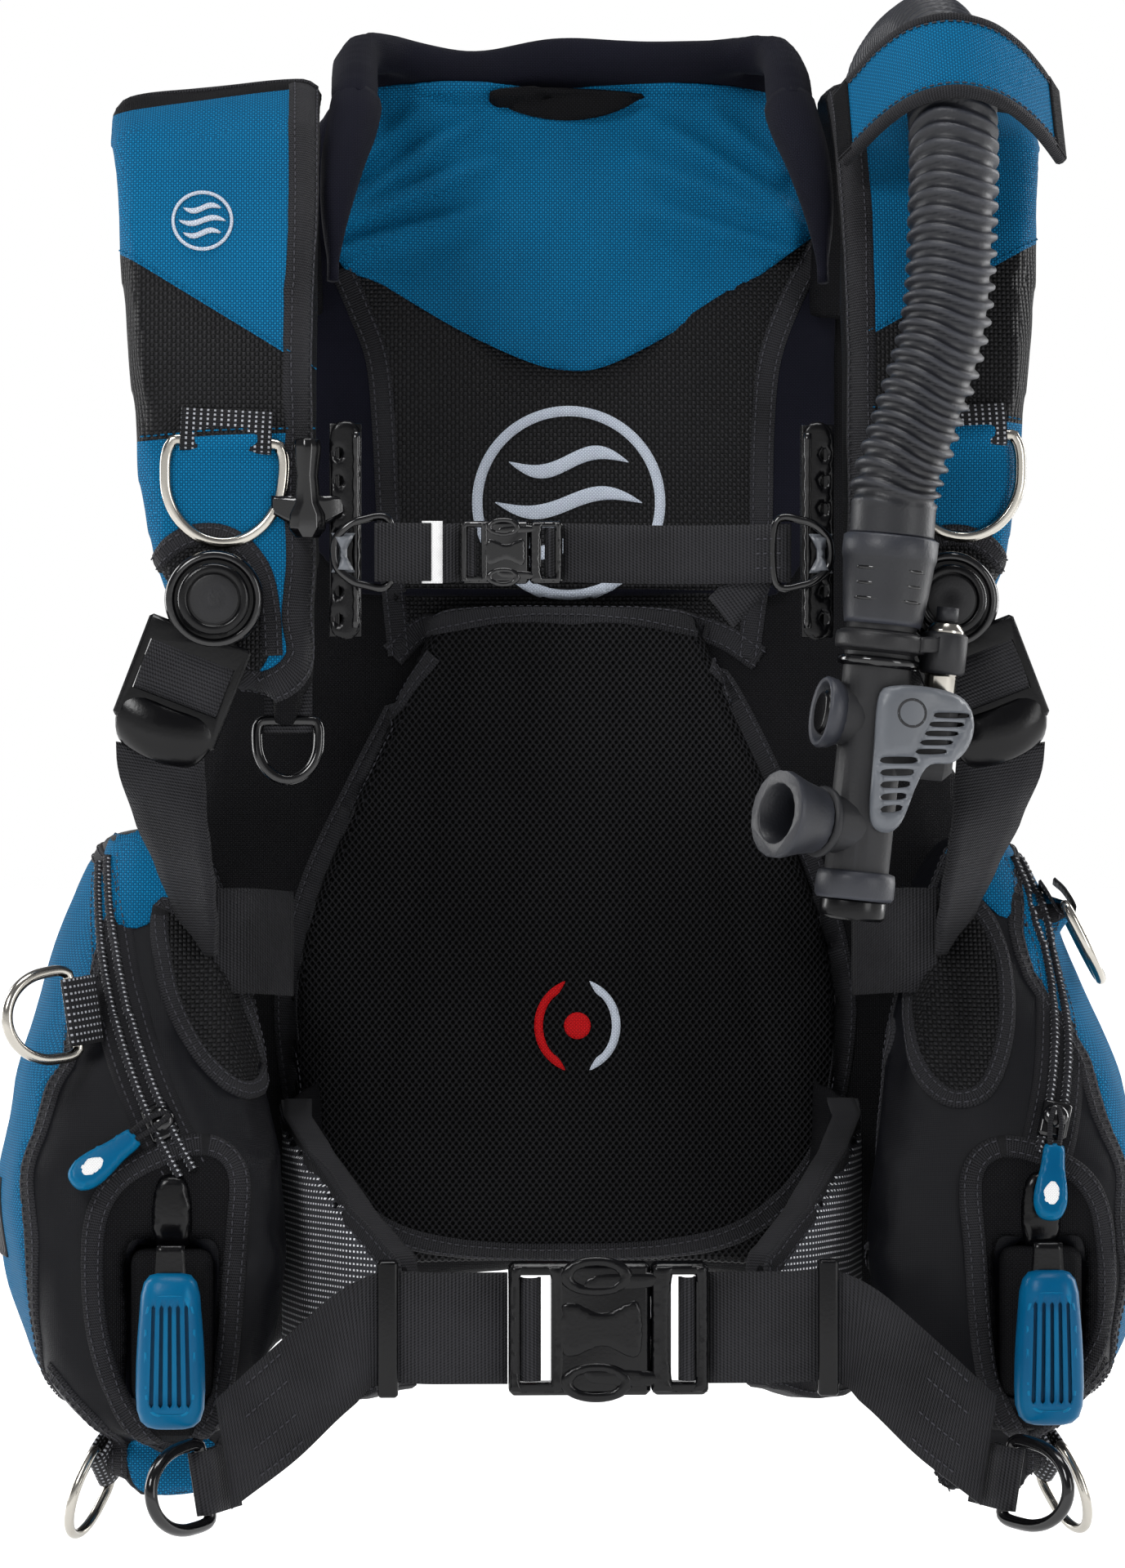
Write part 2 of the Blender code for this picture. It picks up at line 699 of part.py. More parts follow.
def build_buckle(name, xs, y, z, half_z, half_y, plastic):
    """A side-release buckle: a socket open towards +X, and a plug with two arms and a guide in it."""
    socket_end, parting, plug_end = xs
    wall = half_y * 0.38
    slot = (parting - socket_end) * 0.30
    socket = add_object(
        f"{name}_socket",
        bevelled(
            block((socket_end, y - half_y, z - half_z), (parting, y + half_y, z + half_z)),
            half_y * 0.25
        ),
        plastic
    )
    # The webbing slot, and the cavity for the plug's arms with a window each side for their tabs.
    merge(
        socket,
        block(
            (socket_end + slot * 0.25, y - 0.05, z - half_z * 0.82),
            (socket_end + slot, y + 0.05, z + half_z * 0.82)
        ),
        "DIFFERENCE"
    )
    cavity_start = socket_end + slot * 1.35
    merge(
        socket,
        block(
            (cavity_start, y - half_y + wall, z - half_z * 0.80),
            (parting + 0.01, y + half_y - wall, z + half_z * 0.80)
        ),
        "DIFFERENCE"
    )
    window = (parting - cavity_start) * 0.36
    for end in (-1, 1):
        low, high = sorted((z + end * half_z * 0.70, z + end * half_z * 1.4))
        merge(
            socket,
            block(
                (cavity_start + 0.001, y - half_y + wall, low),
                (cavity_start + 0.001 + window, y + half_y - wall, high)
            ),
            "DIFFERENCE"
        )
    frame = add_object(
        f"{name}_plug",
        bevelled(
            block((parting + GAP, y - half_y, z - half_z), (plug_end, y + half_y, z + half_z)),
            half_y * 0.25
        ),
        plastic
    )
    depth = plug_end - parting
    merge(
        frame,
        block(
            (parting + depth * 0.35, y - 0.05, z - half_z * 0.82),
            (plug_end - depth * 0.22, y + 0.05, z + half_z * 0.82)
        ),
        "DIFFERENCE"
    )
    arm_y = half_y - wall - 0.0005
    reach = cavity_start + 0.0020
    for end in (-1, 1):
        low, high = sorted((z + end * half_z * 0.50, z + end * half_z * 0.74))
        merge(frame, block((reach, y - arm_y, low), (parting + depth * 0.2, y + arm_y, high)))
    merge(
        frame,
        block(
            (reach + 0.004, y - arm_y, z - half_z * 0.12),
            (parting + depth * 0.2, y + arm_y, z + half_z * 0.12)
        )
    )


def belt_stations(sign, start):
    """Centre, half width and half thickness of the belt from the buckle out to its pull ring."""
    half = BELT_WEB / 2
    rows = (
        (start, BELT_Y, BELT_Z, 0.0), (BELT_SLIDER_X + 0.004, BELT_Y, BELT_Z, 0.0),
        (0.1150, BELT_Y - 0.001, BELT_Z - 0.0100, 0.20),
        (0.1400, BELT_Y + 0.002, BELT_Z - 0.0330, 0.26), (0.1655, BELT_Y + 0.007, -0.2890, 0.15)
    )
    for i, (x, y, z, lean) in enumerate(rows):
        centre = Vector((BELT_X + sign * x, y, z))
        width = Vector((sign * lean, 0, 1)).normalized() * half
        yield centre, width, Vector((0, 1, 0))


def build_belt(webbing, plastic):
    socket_end, parting, plug_end = BELT_BUCKLE_X
    for side, sign, buckle_end in (("right", -1, socket_end), ("left", 1, plug_end)):
        start = abs(buckle_end - BELT_X) + GAP
        sections = [
            strip_section(c, w, t * WEB_THICK / 2) for c, w, t in belt_stations(sign, start)
        ]
        add_object(f"waist_strap_{side}", loft(sections), webbing)
        x = BELT_X + sign * BELT_SLIDER_X
        slider = add_object(
            f"belt_slider_{side}",
            bevelled(
                block(
                    (x - 0.0045, BELT_Y - 0.0052, BELT_Z - 0.0295),
                    (x + 0.0045, BELT_Y + 0.0052, BELT_Z + 0.0295)
                ),
                0.0012
            ),
            plastic
        )
        merge(
            slider,
            block(
                (x - 0.02, BELT_Y - 0.0022, BELT_Z - 0.0255),
                (x + 0.02, BELT_Y + 0.0022, BELT_Z + 0.0255)
            ),
            "DIFFERENCE"
        )
    build_buckle("waist", BELT_BUCKLE_X, BELT_Y, BELT_Z, 0.0285, 0.0080, plastic)


def build_hip_wing(side, sign, cloth):
    """The padded wing that wraps from the back pad round the hip to the belt."""
    stations = (
        (0.1130, -0.0730, -0.136, -0.262), (0.1240, -0.1000, -0.142, -0.266),
        (0.1240, -0.1400, -0.150, -0.270), (0.1140, -0.1800, -0.163, -0.272),
        (0.0960, -0.2120, -0.186, -0.270), (0.0740, -0.2360, -0.210, -0.260)
    )
    sections = []
    for i, (x, y, top, bottom) in enumerate(stations):
        before, after = stations[max(i - 1, 0)], stations[min(i + 1, len(stations) - 1)]
        along = Vector((sign * (after[0] - before[0]), after[1] - before[1], 0)).normalized()
        out = Vector((-along.y, along.x, 0))
        sections.append(
            slab_section(
                Vector((sign * x, y, (top + bottom) / 2)), Vector((0, 0, (top - bottom) / 2)),
                out * 0.0040
            )
        )
    rounded(add_object(f"hip_wing_{side}", loft(sections), cloth), 60)


def build_pocket(side, sign, cloth):
    """The cargo pocket on the hip, with the weight pouch's holster open at its front."""
    # (z, inner front x, outer front x, outer back x, inner back x)
    levels = (
        (-0.020, 0.166, 0.194, 0.198, 0.174), (-0.040, 0.158, 0.203, 0.208, 0.168),
        (-0.085, 0.147, 0.218, 0.225, 0.164), (-0.130, 0.137, 0.234, 0.243, 0.162),
        (-0.170, 0.128, 0.243, 0.254, 0.160), (-0.220, 0.125, 0.242, 0.254, 0.159),
        (-0.262, 0.134, 0.232, 0.240, 0.161), (-0.284, 0.150, 0.212, 0.214, 0.165)
    )
    sections = []
    for z, inner_front, outer_front, outer_back, inner_back in levels:
        wider = POCKET_FLARE[side] * max(0.0, z + 0.19) / 0.17
        outer_front, outer_back = outer_front + wider, outer_back + wider
        corner = 0.014
        front = pocket_front(z)
        back_y = cell_front(outer_back) - 0.020
        points = (
            (inner_front + 0.3 * corner, front + 0.6 * corner), (inner_front + corner, front),
            (outer_front - corner, front), (outer_front, front + corner),
            (outer_back, (front + back_y) / 2), (outer_back - 0.004, back_y),
            (inner_back, cell_front(inner_back) - GAP - 0.004)
        )
        sections.append([Vector((sign * x, y, z)) for x, y in points])
    pocket = rounded(add_object(f"side_pocket_{side}", loft(sections), cloth), 60)
    x = sign * POUCH_X[side]
    room = 0.0010
    holster = block(
        (x - POUCH_HALF_X - room, -0.30, POUCH_Z[0] - room),
        (x + POUCH_HALF_X + room, POUCH_Y[1] + room, POUCH_Z[1] + room)
    )
    merge(pocket, holster, "DIFFERENCE")
    hem = [strip_section(Vector((sign * cx, -0.1950, z)), Vector((half, 0, 0)), Vector((0, 0.004, 0)))
           for z, cx, half in ((-0.275, 0.180, 0.028), (-0.300, 0.180, 0.027), (-0.316, 0.178, 0.018))]
    merge(pocket, loft(hem))


def build_pouch(side, sign, cloth, grip_plastic):
    """The weight pouch that pulls forward out of its holster, and the grip on its front."""
    x = sign * POUCH_X[side]
    body = block(
        (x - POUCH_HALF_X, POUCH_Y[0], POUCH_Z[0]), (x + POUCH_HALF_X, POUCH_Y[1], POUCH_Z[1])
    )
    add_object(f"weight_pouch_{side}", bevelled(body, 0.003), cloth)
    gx, gy, gz = GRIP_HALF
    grip = bevelled(
        block(
            (x - gx, GRIP_CENTRE_Y - gy, GRIP_CENTRE_Z - gz),
            (x + gx, GRIP_CENTRE_Y + gy, GRIP_CENTRE_Z + gz)
        ),
        0.0060, 2
    )
    grip = rounded(add_object(f"pouch_grip_{side}", grip, grip_plastic))
    merge(
        grip,
        block(
            (x - 0.006, GRIP_CENTRE_Y, GRIP_CENTRE_Z - 0.015),
            (x + 0.006, POUCH_Y[0] - GAP, GRIP_CENTRE_Z + 0.040)
        )
    )


def zip_arc(side, sign):
    """Centre, radius, and the plane's normal and up direction, of the circle that the zip follows."""
    normal = Vector((0, -1, POCKET_SLANT)).normalized()
    up = Vector((0, POCKET_SLANT, 1)).normalized()
    right = Vector((1, 0, 0))
    stretch = math.sqrt(1 + POCKET_SLANT**2)
    flat = [(sign * x, z * stretch) for x, z in ZIP_POINTS[side]]
    (ax, ay), (bx, by), (cx, cy) = flat
    d = 2 * (ax * (by - cy) + bx * (cy - ay) + cx * (ay - by))
    a2, b2, c2 = ax**2 + ay**2, bx**2 + by**2, cx**2 + cy**2
    ux = (a2 * (by - cy) + b2 * (cy - ay) + c2 * (ay - by)) / d
    uy = (a2 * (cx - bx) + b2 * (ax - cx) + c2 * (bx - ax)) / d
    base = Vector((0, POCKET_FRONT_Y, 0)) + normal * ZIP_LIFT
    centre = base + right * ux + up * uy
    ends = [base + right * x + up * y for x, y in flat]
    return centre, normal, up, ends


def build_zip(side, sign, metal, grip_plastic):
    """The zip's slider at the bottom of its track, and the pull that hangs from it."""
    centre, normal, up, ends = zip_arc(side, sign)
    at = ends[-1]
    out = (at - centre).normalized()
    along = normal.cross(out)
    frame = Matrix((out, along, normal)).transposed().to_4x4()
    frame.translation = at
    body = bevelled(block((-0.0065, -0.0085, -0.0028), (0.0065, 0.0085, 0.0036)), 0.0012)
    slider = add_object(f"zip_slider_{side}", moved(body, frame), metal)
    angle = PULL_ANGLE[side]
    hang = Matrix.Translation(at + normal * 0.0070) @ Matrix(
        (Vector((1, 0, 0)), up, normal)
    ).transposed().to_4x4() @ Matrix.Rotation(angle, 4, "Z")
    outline = (
        (0.0020, 0.003), (0.0016, -0.012), (0.0042, -0.015), (0.0052, -0.024), (0.0072, -0.036),
        (0.0066, -0.043), (0.0030, -0.0475)
    )
    ring = list(outline) + [(-x, y) for x, y in outline[::-1]]
    sections = [[Vector((x, y, z)) for x, y in ring] for z in (-0.0016, 0.0026)]
    add_object(f"zip_pull_{side}", moved(loft(sections), hang), grip_plastic)
    return slider


def build_inflator(rubber, plastic, steel):
    """The power inflator at the hose's end: barrel, mouthpiece, two buttons and the gas nipple."""
    frame = Matrix.Translation(INFLATOR_AT) @ Matrix.Rotation(INFLATOR_TILT, 4, "Y")
    steps = 18
    profile = (
        (0, 0.0), (0.0195, 0.0), (0.0195, -0.010), (0.0150, -0.040), (0.0180, -0.041),
        (0.0180, -0.048), (BARREL_R, -0.050), (BARREL_R, -0.070), (0.0140, -0.090),
        (0.0140, -0.152), (0, -0.152)
    )
    body = add_object("inflator_body", lathe(profile, steps), plastic)
    merge(
        body,
        moved(
            lathe(((0, 0.0), (0.0125, 0.0), (0.0125, 0.0235), (0, 0.0235)), steps),
            aim(MOUTH_DIRECTION, MOUTH_AT)
        )
    )
    merge(
        body,
        moved(
            lathe(((0, 0.0), (0.0120, 0.0), (0.0135, 0.0200), (0, 0.0200)), steps),
            aim(BUTTON_DIRECTION, BUTTON_AT)
        )
    )
    merge(body, bevelled(block((0.004, -0.0095, -0.102), (0.036, 0.0125, -0.066)), 0.004))
    merge(
        body,
        moved(
            lathe(((0, -0.02), (0.0090, -0.02), (0.0090, 0.0380), (0, 0.0380)), steps),
            aim(MOUTH_DIRECTION, MOUTH_AT + MOUTH_DIRECTION * 0.021)
        ),
        "DIFFERENCE"
    )
    merge(
        body,
        moved(
            lathe(((0, 0.0130), (0.0108, 0.0130), (0.0108, 0.0400), (0, 0.0400)), steps),
            aim(BUTTON_DIRECTION, BUTTON_AT)
        ),
        "DIFFERENCE"
    )
    rounded(body, 40)
    mouth = lathe(
        (
            (0.0100, 0.0240), (0.0140, 0.0240), (0.0160, 0.0330), (0.0190, 0.0420),
            (0.0190, 0.0450), (0.0130, 0.0450), (0.0100, 0.0360)
        ),
        steps
    )
    mouthpiece = rounded(
        add_object("mouthpiece", moved(mouth, aim(MOUTH_DIRECTION, MOUTH_AT)), rubber)
    )
    button = lathe(
        ((0, 0.0175), (0.0102, 0.0175), (0.0102, 0.0225), (0.0085, 0.0240), (0, 0.0240)), steps
    )
    inflate = rounded(
        add_object("inflate_button", moved(button, aim(BUTTON_DIRECTION, BUTTON_AT)), plastic)
    )
    cap = lathe(
        ((0, -0.1570), (0.0145, -0.1570), (0.0145, -0.1640), (0.0125, -0.1655), (0, -0.1655)), steps
    )
    exhaust = rounded(add_object("exhaust_button", cap, rubber))
    nipple = lathe(
        (
            (0, -0.0025), (0.0070, -0.0025), (0.0070, 0.0060), (0.0082, 0.0075), (0.0082, 0.0260),
            (0.0062, 0.0290), (0, 0.0290)
        ),
        steps
    )
    coupling = rounded(
        add_object("hose_coupling", moved(nipple, Matrix.Translation(NIPPLE_AT)), steel)
    )
    for obj in (body, mouthpiece, inflate, exhaust, coupling):
        obj.data.transform(frame)


def build_hose(rubber, plastic):
    """The corrugated hose as a plain tube of its outer size along its real route.

    The elbow that it leaves is a piece of its own.
    """
    curve = bpy.data.curves.new("corrugated_hose", "CURVE")
    curve.dimensions = "3D"
    curve.bevel_depth = HOSE_R
    curve.bevel_resolution = 4
    curve.use_fill_caps = True
    line = smooth_line(HOSE_POINTS, 0.020)
    spline = curve.splines.new("POLY")
    spline.points.add(len(line) - 1)
    for spot, point in zip(spline.points, line):
        spot.co = (*point, 1)
    curve.materials.append(rubber)
    bpy.context.scene.collection.objects.link(bpy.data.objects.new("corrugated_hose", curve))
    x, y, z = HOSE_POINTS[0]
    profile = (
        (0, -0.030), (0.0185, -0.030), (0.0210, -0.024), (0.0210, -0.004), (0.0180, -0.0010),
        (0, -0.0010)
    )
    elbow = add_object(
        "hose_elbow", moved(lathe(profile, 18), Matrix.Translation((x, y, z))), plastic
    )
    flange = lathe(
        ((0, 0.0), (0.0270, 0.0), (0.0270, 0.004), (0.0140, 0.008), (0.0140, 0.030), (0, 0.030)), 18
    )
    merge(
        elbow, moved(flange, aim((0, 1, 0), (x, CELL_CENTRE_Y + CELL_HALF_THICK + GAP, z - 0.026)))
    )
    rounded(elbow)


def build_flap(cloth):
    """The keeper that closes over the hose at the top of the left shoulder."""
    along = Vector((0, -math.cos(FLAP_LEAN), -math.sin(FLAP_LEAN)))
    out = Vector((0, -math.sin(FLAP_LEAN), math.cos(FLAP_LEAN)))
    arch = (
        (-0.0465, -0.0180), (-0.0390, -0.0050), (-0.0290, 0.0110), (-0.0160, 0.0235), (0.0, 0.0280),
        (0.0160, 0.0235), (0.0290, 0.0130), (0.0400, -0.0010), (0.0490, -0.0160)
    )
    sections = []
    for i, (x, lift) in enumerate(arch):
        (x0, l0), (x1, l1) = arch[max(i - 1, 0)], arch[min(i + 1, len(arch) - 1)]
        tangent = (Vector((1, 0, 0)) * (x1 - x0) + out * (l1 - l0)).normalized()
        thick = along.cross(tangent).normalized() * 0.0020
        sections.append(
            slab_section(
                FLAP_CENTRE + Vector((x, 0, 0)) + out * lift, along * FLAP_LENGTH / 2, thick
            )
        )
    rounded(add_object("hose_flap", loft(sections), cloth), 60)


def build_dump(plastic):
    """The shoulder dump valve behind the right shoulder, and the toggle on the chest that opens it."""
    at = (-0.150, CELL_CENTRE_Y + CELL_HALF_THICK + GAP, 0.250)
    valve = lathe(
        ((0, 0.0), (0.0260, 0.0), (0.0260, 0.005), (0.0225, 0.0125), (0.0130, 0.0160), (0, 0.0160)),
        24
    )
    rounded(add_object("dump_valve", moved(valve, aim((0, 1, 0), at)), plastic))
    x, y = -0.1195, -0.2325
    sections = []
    for z, half_x, half_y in (
        (0.150, 0.0052, 0.0045), (0.146, 0.0060, 0.0055), (0.134, 0.0046, 0.0048),
        (0.122, 0.0056, 0.0048), (0.117, 0.0078, 0.0052), (0.111, 0.0080, 0.0052),
        (0.107, 0.0050, 0.0040)
    ):
        sections.append(
            slab_section(Vector((x, y, z)), Vector((half_x, 0, 0)), Vector((0, half_y, 0)))
        )
    rounded(add_object("dump_toggle", loft(sections), plastic))


def moving_pieces():
    """Each moving piece's carrier, and the point of its joint's axis that is to be its origin."""
    band_back = 2 * TANK_R + 0.0022 + WEB_THICK / 2 + GAP
    frame = Matrix.Translation(INFLATOR_AT) @ Matrix.Rotation(INFLATOR_TILT, 4, "Y")
    chest = (0, CHEST_Y, CHEST_Z)
    pieces = {
        "cam_lever": ("cam_buckle", (LEVER_PIVOT_X, band_back + 0.0105, BAND_Z)),
        "hose_flap": ("shoulder_lobe_left", FLAP_CENTRE + Vector((-0.0465, 0, 0))),
        "inflator_body": ("hose_flap", FLAP_CENTRE),
        "mouthpiece": ("inflator_body", frame @ MOUTH_AT),
        "hose_coupling": ("inflator_body", frame @ NIPPLE_AT),
        "inflate_button": ("inflator_body", frame @ BUTTON_AT),
        "exhaust_button": ("inflator_body", frame @ Vector((0, 0, -0.152))),
        "dump_toggle": ("shoulder_lobe_right", (-0.1195, -0.2325, 0.150)),
        "sternum_socket": ("chest_strap", chest),
        "sternum_plug": ("sternum_socket", (CHEST_BUCKLE_X[1], CHEST_Y, CHEST_Z)),
        "waist_plug": ("waist_socket", (BELT_BUCKLE_X[1], BELT_Y, BELT_Z)),
    }
    for side, sign in SIDES.items():
        _, normal, _, ends = zip_arc(side, sign)
        pieces[f"ladder_lock_{side}"] = (
            f"swivel_base_{side}", (sign * SWIVEL.x, SWIVEL.y, SWIVEL.z)
        )
        pieces[f"sternum_strap_{side}"] = ("chest_strap", chest)
        pieces[f"belt_slider_{side}"] = (
            f"waist_strap_{side}", (BELT_X + sign * BELT_SLIDER_X, BELT_Y, BELT_Z)
        )
        pieces[f"weight_pouch_{side}"] = (
            f"side_pocket_{side}", (sign * POUCH_X[side], POUCH_Y[0], GRIP_CENTRE_Z)
        )
        pieces[f"pouch_grip_{side}"] = (
            f"weight_pouch_{side}", (sign * POUCH_X[side], POUCH_Y[0], GRIP_CENTRE_Z)
        )
        pieces[f"zip_slider_{side}"] = (f"side_pocket_{side}", zip_arc(side, sign)[0])
        pieces[f"zip_pull_{side}"] = (f"zip_slider_{side}", ends[-1] + normal * 0.0070)
    for name, (_, at, _, _, host, _) in RINGS.items():
        pieces[name] = (host, at)
    return pieces


def place_origins():
    """Sets the moving pieces' origins and parents. No piece has a rotation of its own at rest."""
    chest_strap = bpy.data.objects.new("chest_strap", None)
    chest_strap.location = (0, CHEST_Y, CHEST_Z)
    bpy.context.scene.collection.objects.link(chest_strap)
    pieces = moving_pieces()
    origins = {name: Vector(point) for name, (_, point) in pieces.items()}
    origins["chest_strap"] = chest_strap.location.copy()
    for name, (carrier, _) in pieces.items():
        obj = bpy.data.objects[name]
        obj.data.transform(Matrix.Translation(-origins[name]))
        obj.parent = bpy.data.objects[carrier]
        obj.location = origins[name] - origins.get(carrier, Vector())


def main():
    clear_scene()
    cloth = make_material("blue_cloth", (0.012, 0.120, 0.260), 0.75)
    dark = make_material("black_cloth", (0.012, 0.012, 0.014), 0.85)
    webbing = make_material("webbing", (0.020, 0.020, 0.022), 0.70)
    plastic = make_material("black_plastic", (0.016, 0.016, 0.018), 0.35)
    rubber = make_material("rubber", (0.025, 0.026, 0.030), 0.60)
    steel = make_material("steel", (0.62, 0.60, 0.57), 0.25, 1.0)
    grip = make_material("blue_plastic", (0.010, 0.130, 0.240), 0.45)

    build_air_cell(cloth)
    build_back(cloth, dark)
    build_backpack(plastic)
    build_grab_handle(rubber)
    build_tank_band(webbing, plastic)
    for side, sign in SIDES.items():
        build_lobe(side, sign, cloth, plastic)
        build_swivel(side, sign, plastic)
        build_adjuster_strap(side, sign, webbing)
        build_hip_wing(side, sign, dark)
        build_pocket(side, sign, dark)
        build_pouch(side, sign, dark, grip)
        build_zip(side, sign, plastic, grip)
    build_chest_strap(webbing, plastic)
    build_belt(webbing, plastic)
    build_inflator(rubber, plastic, steel)
    build_hose(rubber, plastic)
    build_flap(cloth)
    build_dump(plastic)
    for name in RINGS:
        build_ring(name, plastic if name.startswith(("chest", "belt")) else steel)
    place_origins()


main()
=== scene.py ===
"""The looks of the buoyancy vest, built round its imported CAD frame. All lengths are metres."""
import json
import math

import bmesh
import bpy
import numpy as np
from mathutils import Matrix, Vector, geometry, noise
from mathutils.bvhtree import BVHTree

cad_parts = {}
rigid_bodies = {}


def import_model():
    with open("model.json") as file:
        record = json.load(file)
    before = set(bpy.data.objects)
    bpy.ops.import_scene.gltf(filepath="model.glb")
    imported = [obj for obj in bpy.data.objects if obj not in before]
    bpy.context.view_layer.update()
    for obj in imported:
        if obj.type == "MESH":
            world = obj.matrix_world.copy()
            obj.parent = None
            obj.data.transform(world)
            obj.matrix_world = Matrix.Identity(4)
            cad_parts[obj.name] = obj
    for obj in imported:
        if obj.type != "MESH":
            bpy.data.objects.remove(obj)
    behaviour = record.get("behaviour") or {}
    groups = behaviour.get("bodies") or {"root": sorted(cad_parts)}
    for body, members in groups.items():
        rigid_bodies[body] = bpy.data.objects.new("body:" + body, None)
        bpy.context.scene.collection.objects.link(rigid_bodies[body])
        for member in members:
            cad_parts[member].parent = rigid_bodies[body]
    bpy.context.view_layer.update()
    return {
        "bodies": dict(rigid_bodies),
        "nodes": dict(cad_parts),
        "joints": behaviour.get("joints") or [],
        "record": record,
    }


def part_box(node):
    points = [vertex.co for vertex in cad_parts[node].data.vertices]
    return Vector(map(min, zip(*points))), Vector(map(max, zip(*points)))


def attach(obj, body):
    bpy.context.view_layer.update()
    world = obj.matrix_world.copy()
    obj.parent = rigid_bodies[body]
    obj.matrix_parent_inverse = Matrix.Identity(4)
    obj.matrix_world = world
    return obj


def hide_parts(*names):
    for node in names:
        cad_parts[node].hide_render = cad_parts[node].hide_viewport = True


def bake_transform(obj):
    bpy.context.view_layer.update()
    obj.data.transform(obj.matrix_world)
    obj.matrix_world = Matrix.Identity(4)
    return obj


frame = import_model()
NODES = frame["nodes"]
BODY_OF = {node: body for body, members in frame["record"]["behaviour"]["bodies"].items() for node in members}
X, Y, Z = Vector((1, 0, 0)), Vector((0, 1, 0)), Vector((0, 0, 1))
SIDES = (("right", -1), ("left", 1))


def mm(*rows):
    """Rows of millimetres, as tuples in metres."""
    return tuple(tuple(length / 1000 for length in row) for row in rows)


# --- camera, light and floor ---------------------------------------------------------------------

CAMERA_TURN = math.radians(-2.5)
CAMERA_TARGET = Vector((0, -0.13, 0))
CAMERA_DISTANCE = 2.6
FOCAL_LENGTH = 131.6


def aim_at(obj, target):
    obj.rotation_euler = (Vector(target) - obj.location).to_track_quat("-Z", "Y").to_euler()


def make_camera():
    camera = bpy.data.objects.new("camera", bpy.data.cameras.new("camera"))
    bpy.context.scene.collection.objects.link(camera)
    away = Vector((math.sin(CAMERA_TURN), -math.cos(CAMERA_TURN), 0))
    camera.location = CAMERA_TARGET + CAMERA_DISTANCE * away
    aim_at(camera, CAMERA_TARGET)
    camera.data.sensor_width = 36
    camera.data.lens = FOCAL_LENGTH
    camera.data.shift_x = -0.006
    bpy.context.scene.camera = camera


def make_light(name, place, size, power):
    light = bpy.data.lights.new(name, "AREA")
    light.shape, light.size, light.size_y, light.energy = "RECTANGLE", size[0], size[1], power
    obj = bpy.data.objects.new(name, light)
    bpy.context.scene.collection.objects.link(obj)
    obj.location = place
    aim_at(obj, CAMERA_TARGET)


def make_studio():
    scene = bpy.context.scene
    scene.view_settings.view_transform = "Standard"
    world = bpy.data.worlds.new("studio")
    scene.world = world
    world.use_nodes = True
    tree = world.node_tree
    background = tree.nodes["Background"]
    coords = tree.nodes.new("ShaderNodeTexCoord")
    split = tree.nodes.new("ShaderNodeSeparateXYZ")
    tree.links.new(coords.outputs["Generated"], split.inputs[0])
    height = tree.nodes.new("ShaderNodeMath")
    height.operation = "ABSOLUTE"
    tree.links.new(split.outputs[2], height.inputs[0])
    band = tree.nodes.new("ShaderNodeValToRGB")
    band.color_ramp.elements[0].position, band.color_ramp.elements[0].color = 0.19, (1, 1, 1, 1)
    band.color_ramp.elements[1].position, band.color_ramp.elements[1].color = 0.3, (0.22, 0.22, 0.23, 1)
    tree.links.new(height.outputs[0], band.inputs[0])
    tree.links.new(band.outputs[0], background.inputs["Color"])
    background.inputs["Strength"].default_value = 1.0
    make_light("key", (-1.2, -1.9, 1.5), (0.8, 0.8), 34)
    make_light("fill", (1.7, -1.6, 0.5), (0.7, 1.3), 13)
    make_light("top", (0, -0.4, 1.9), (1.2, 0.5), 20)
    for side, sign in SIDES:
        make_light(f"rim_{side}", (1.5 * sign, 0.6, 0.5), (0.35, 1.4), 16)


make_camera()
make_studio()

# --- materials -----------------------------------------------------------------------------------


def rgb(red, green, blue):
    """Linear colour from display values of 0 to 255."""
    return tuple(((c / 255 + 0.055) / 1.055) ** 2.4 if c > 10 else c / 255 / 12.92
        for c in (red, green, blue)) + (1.0,)


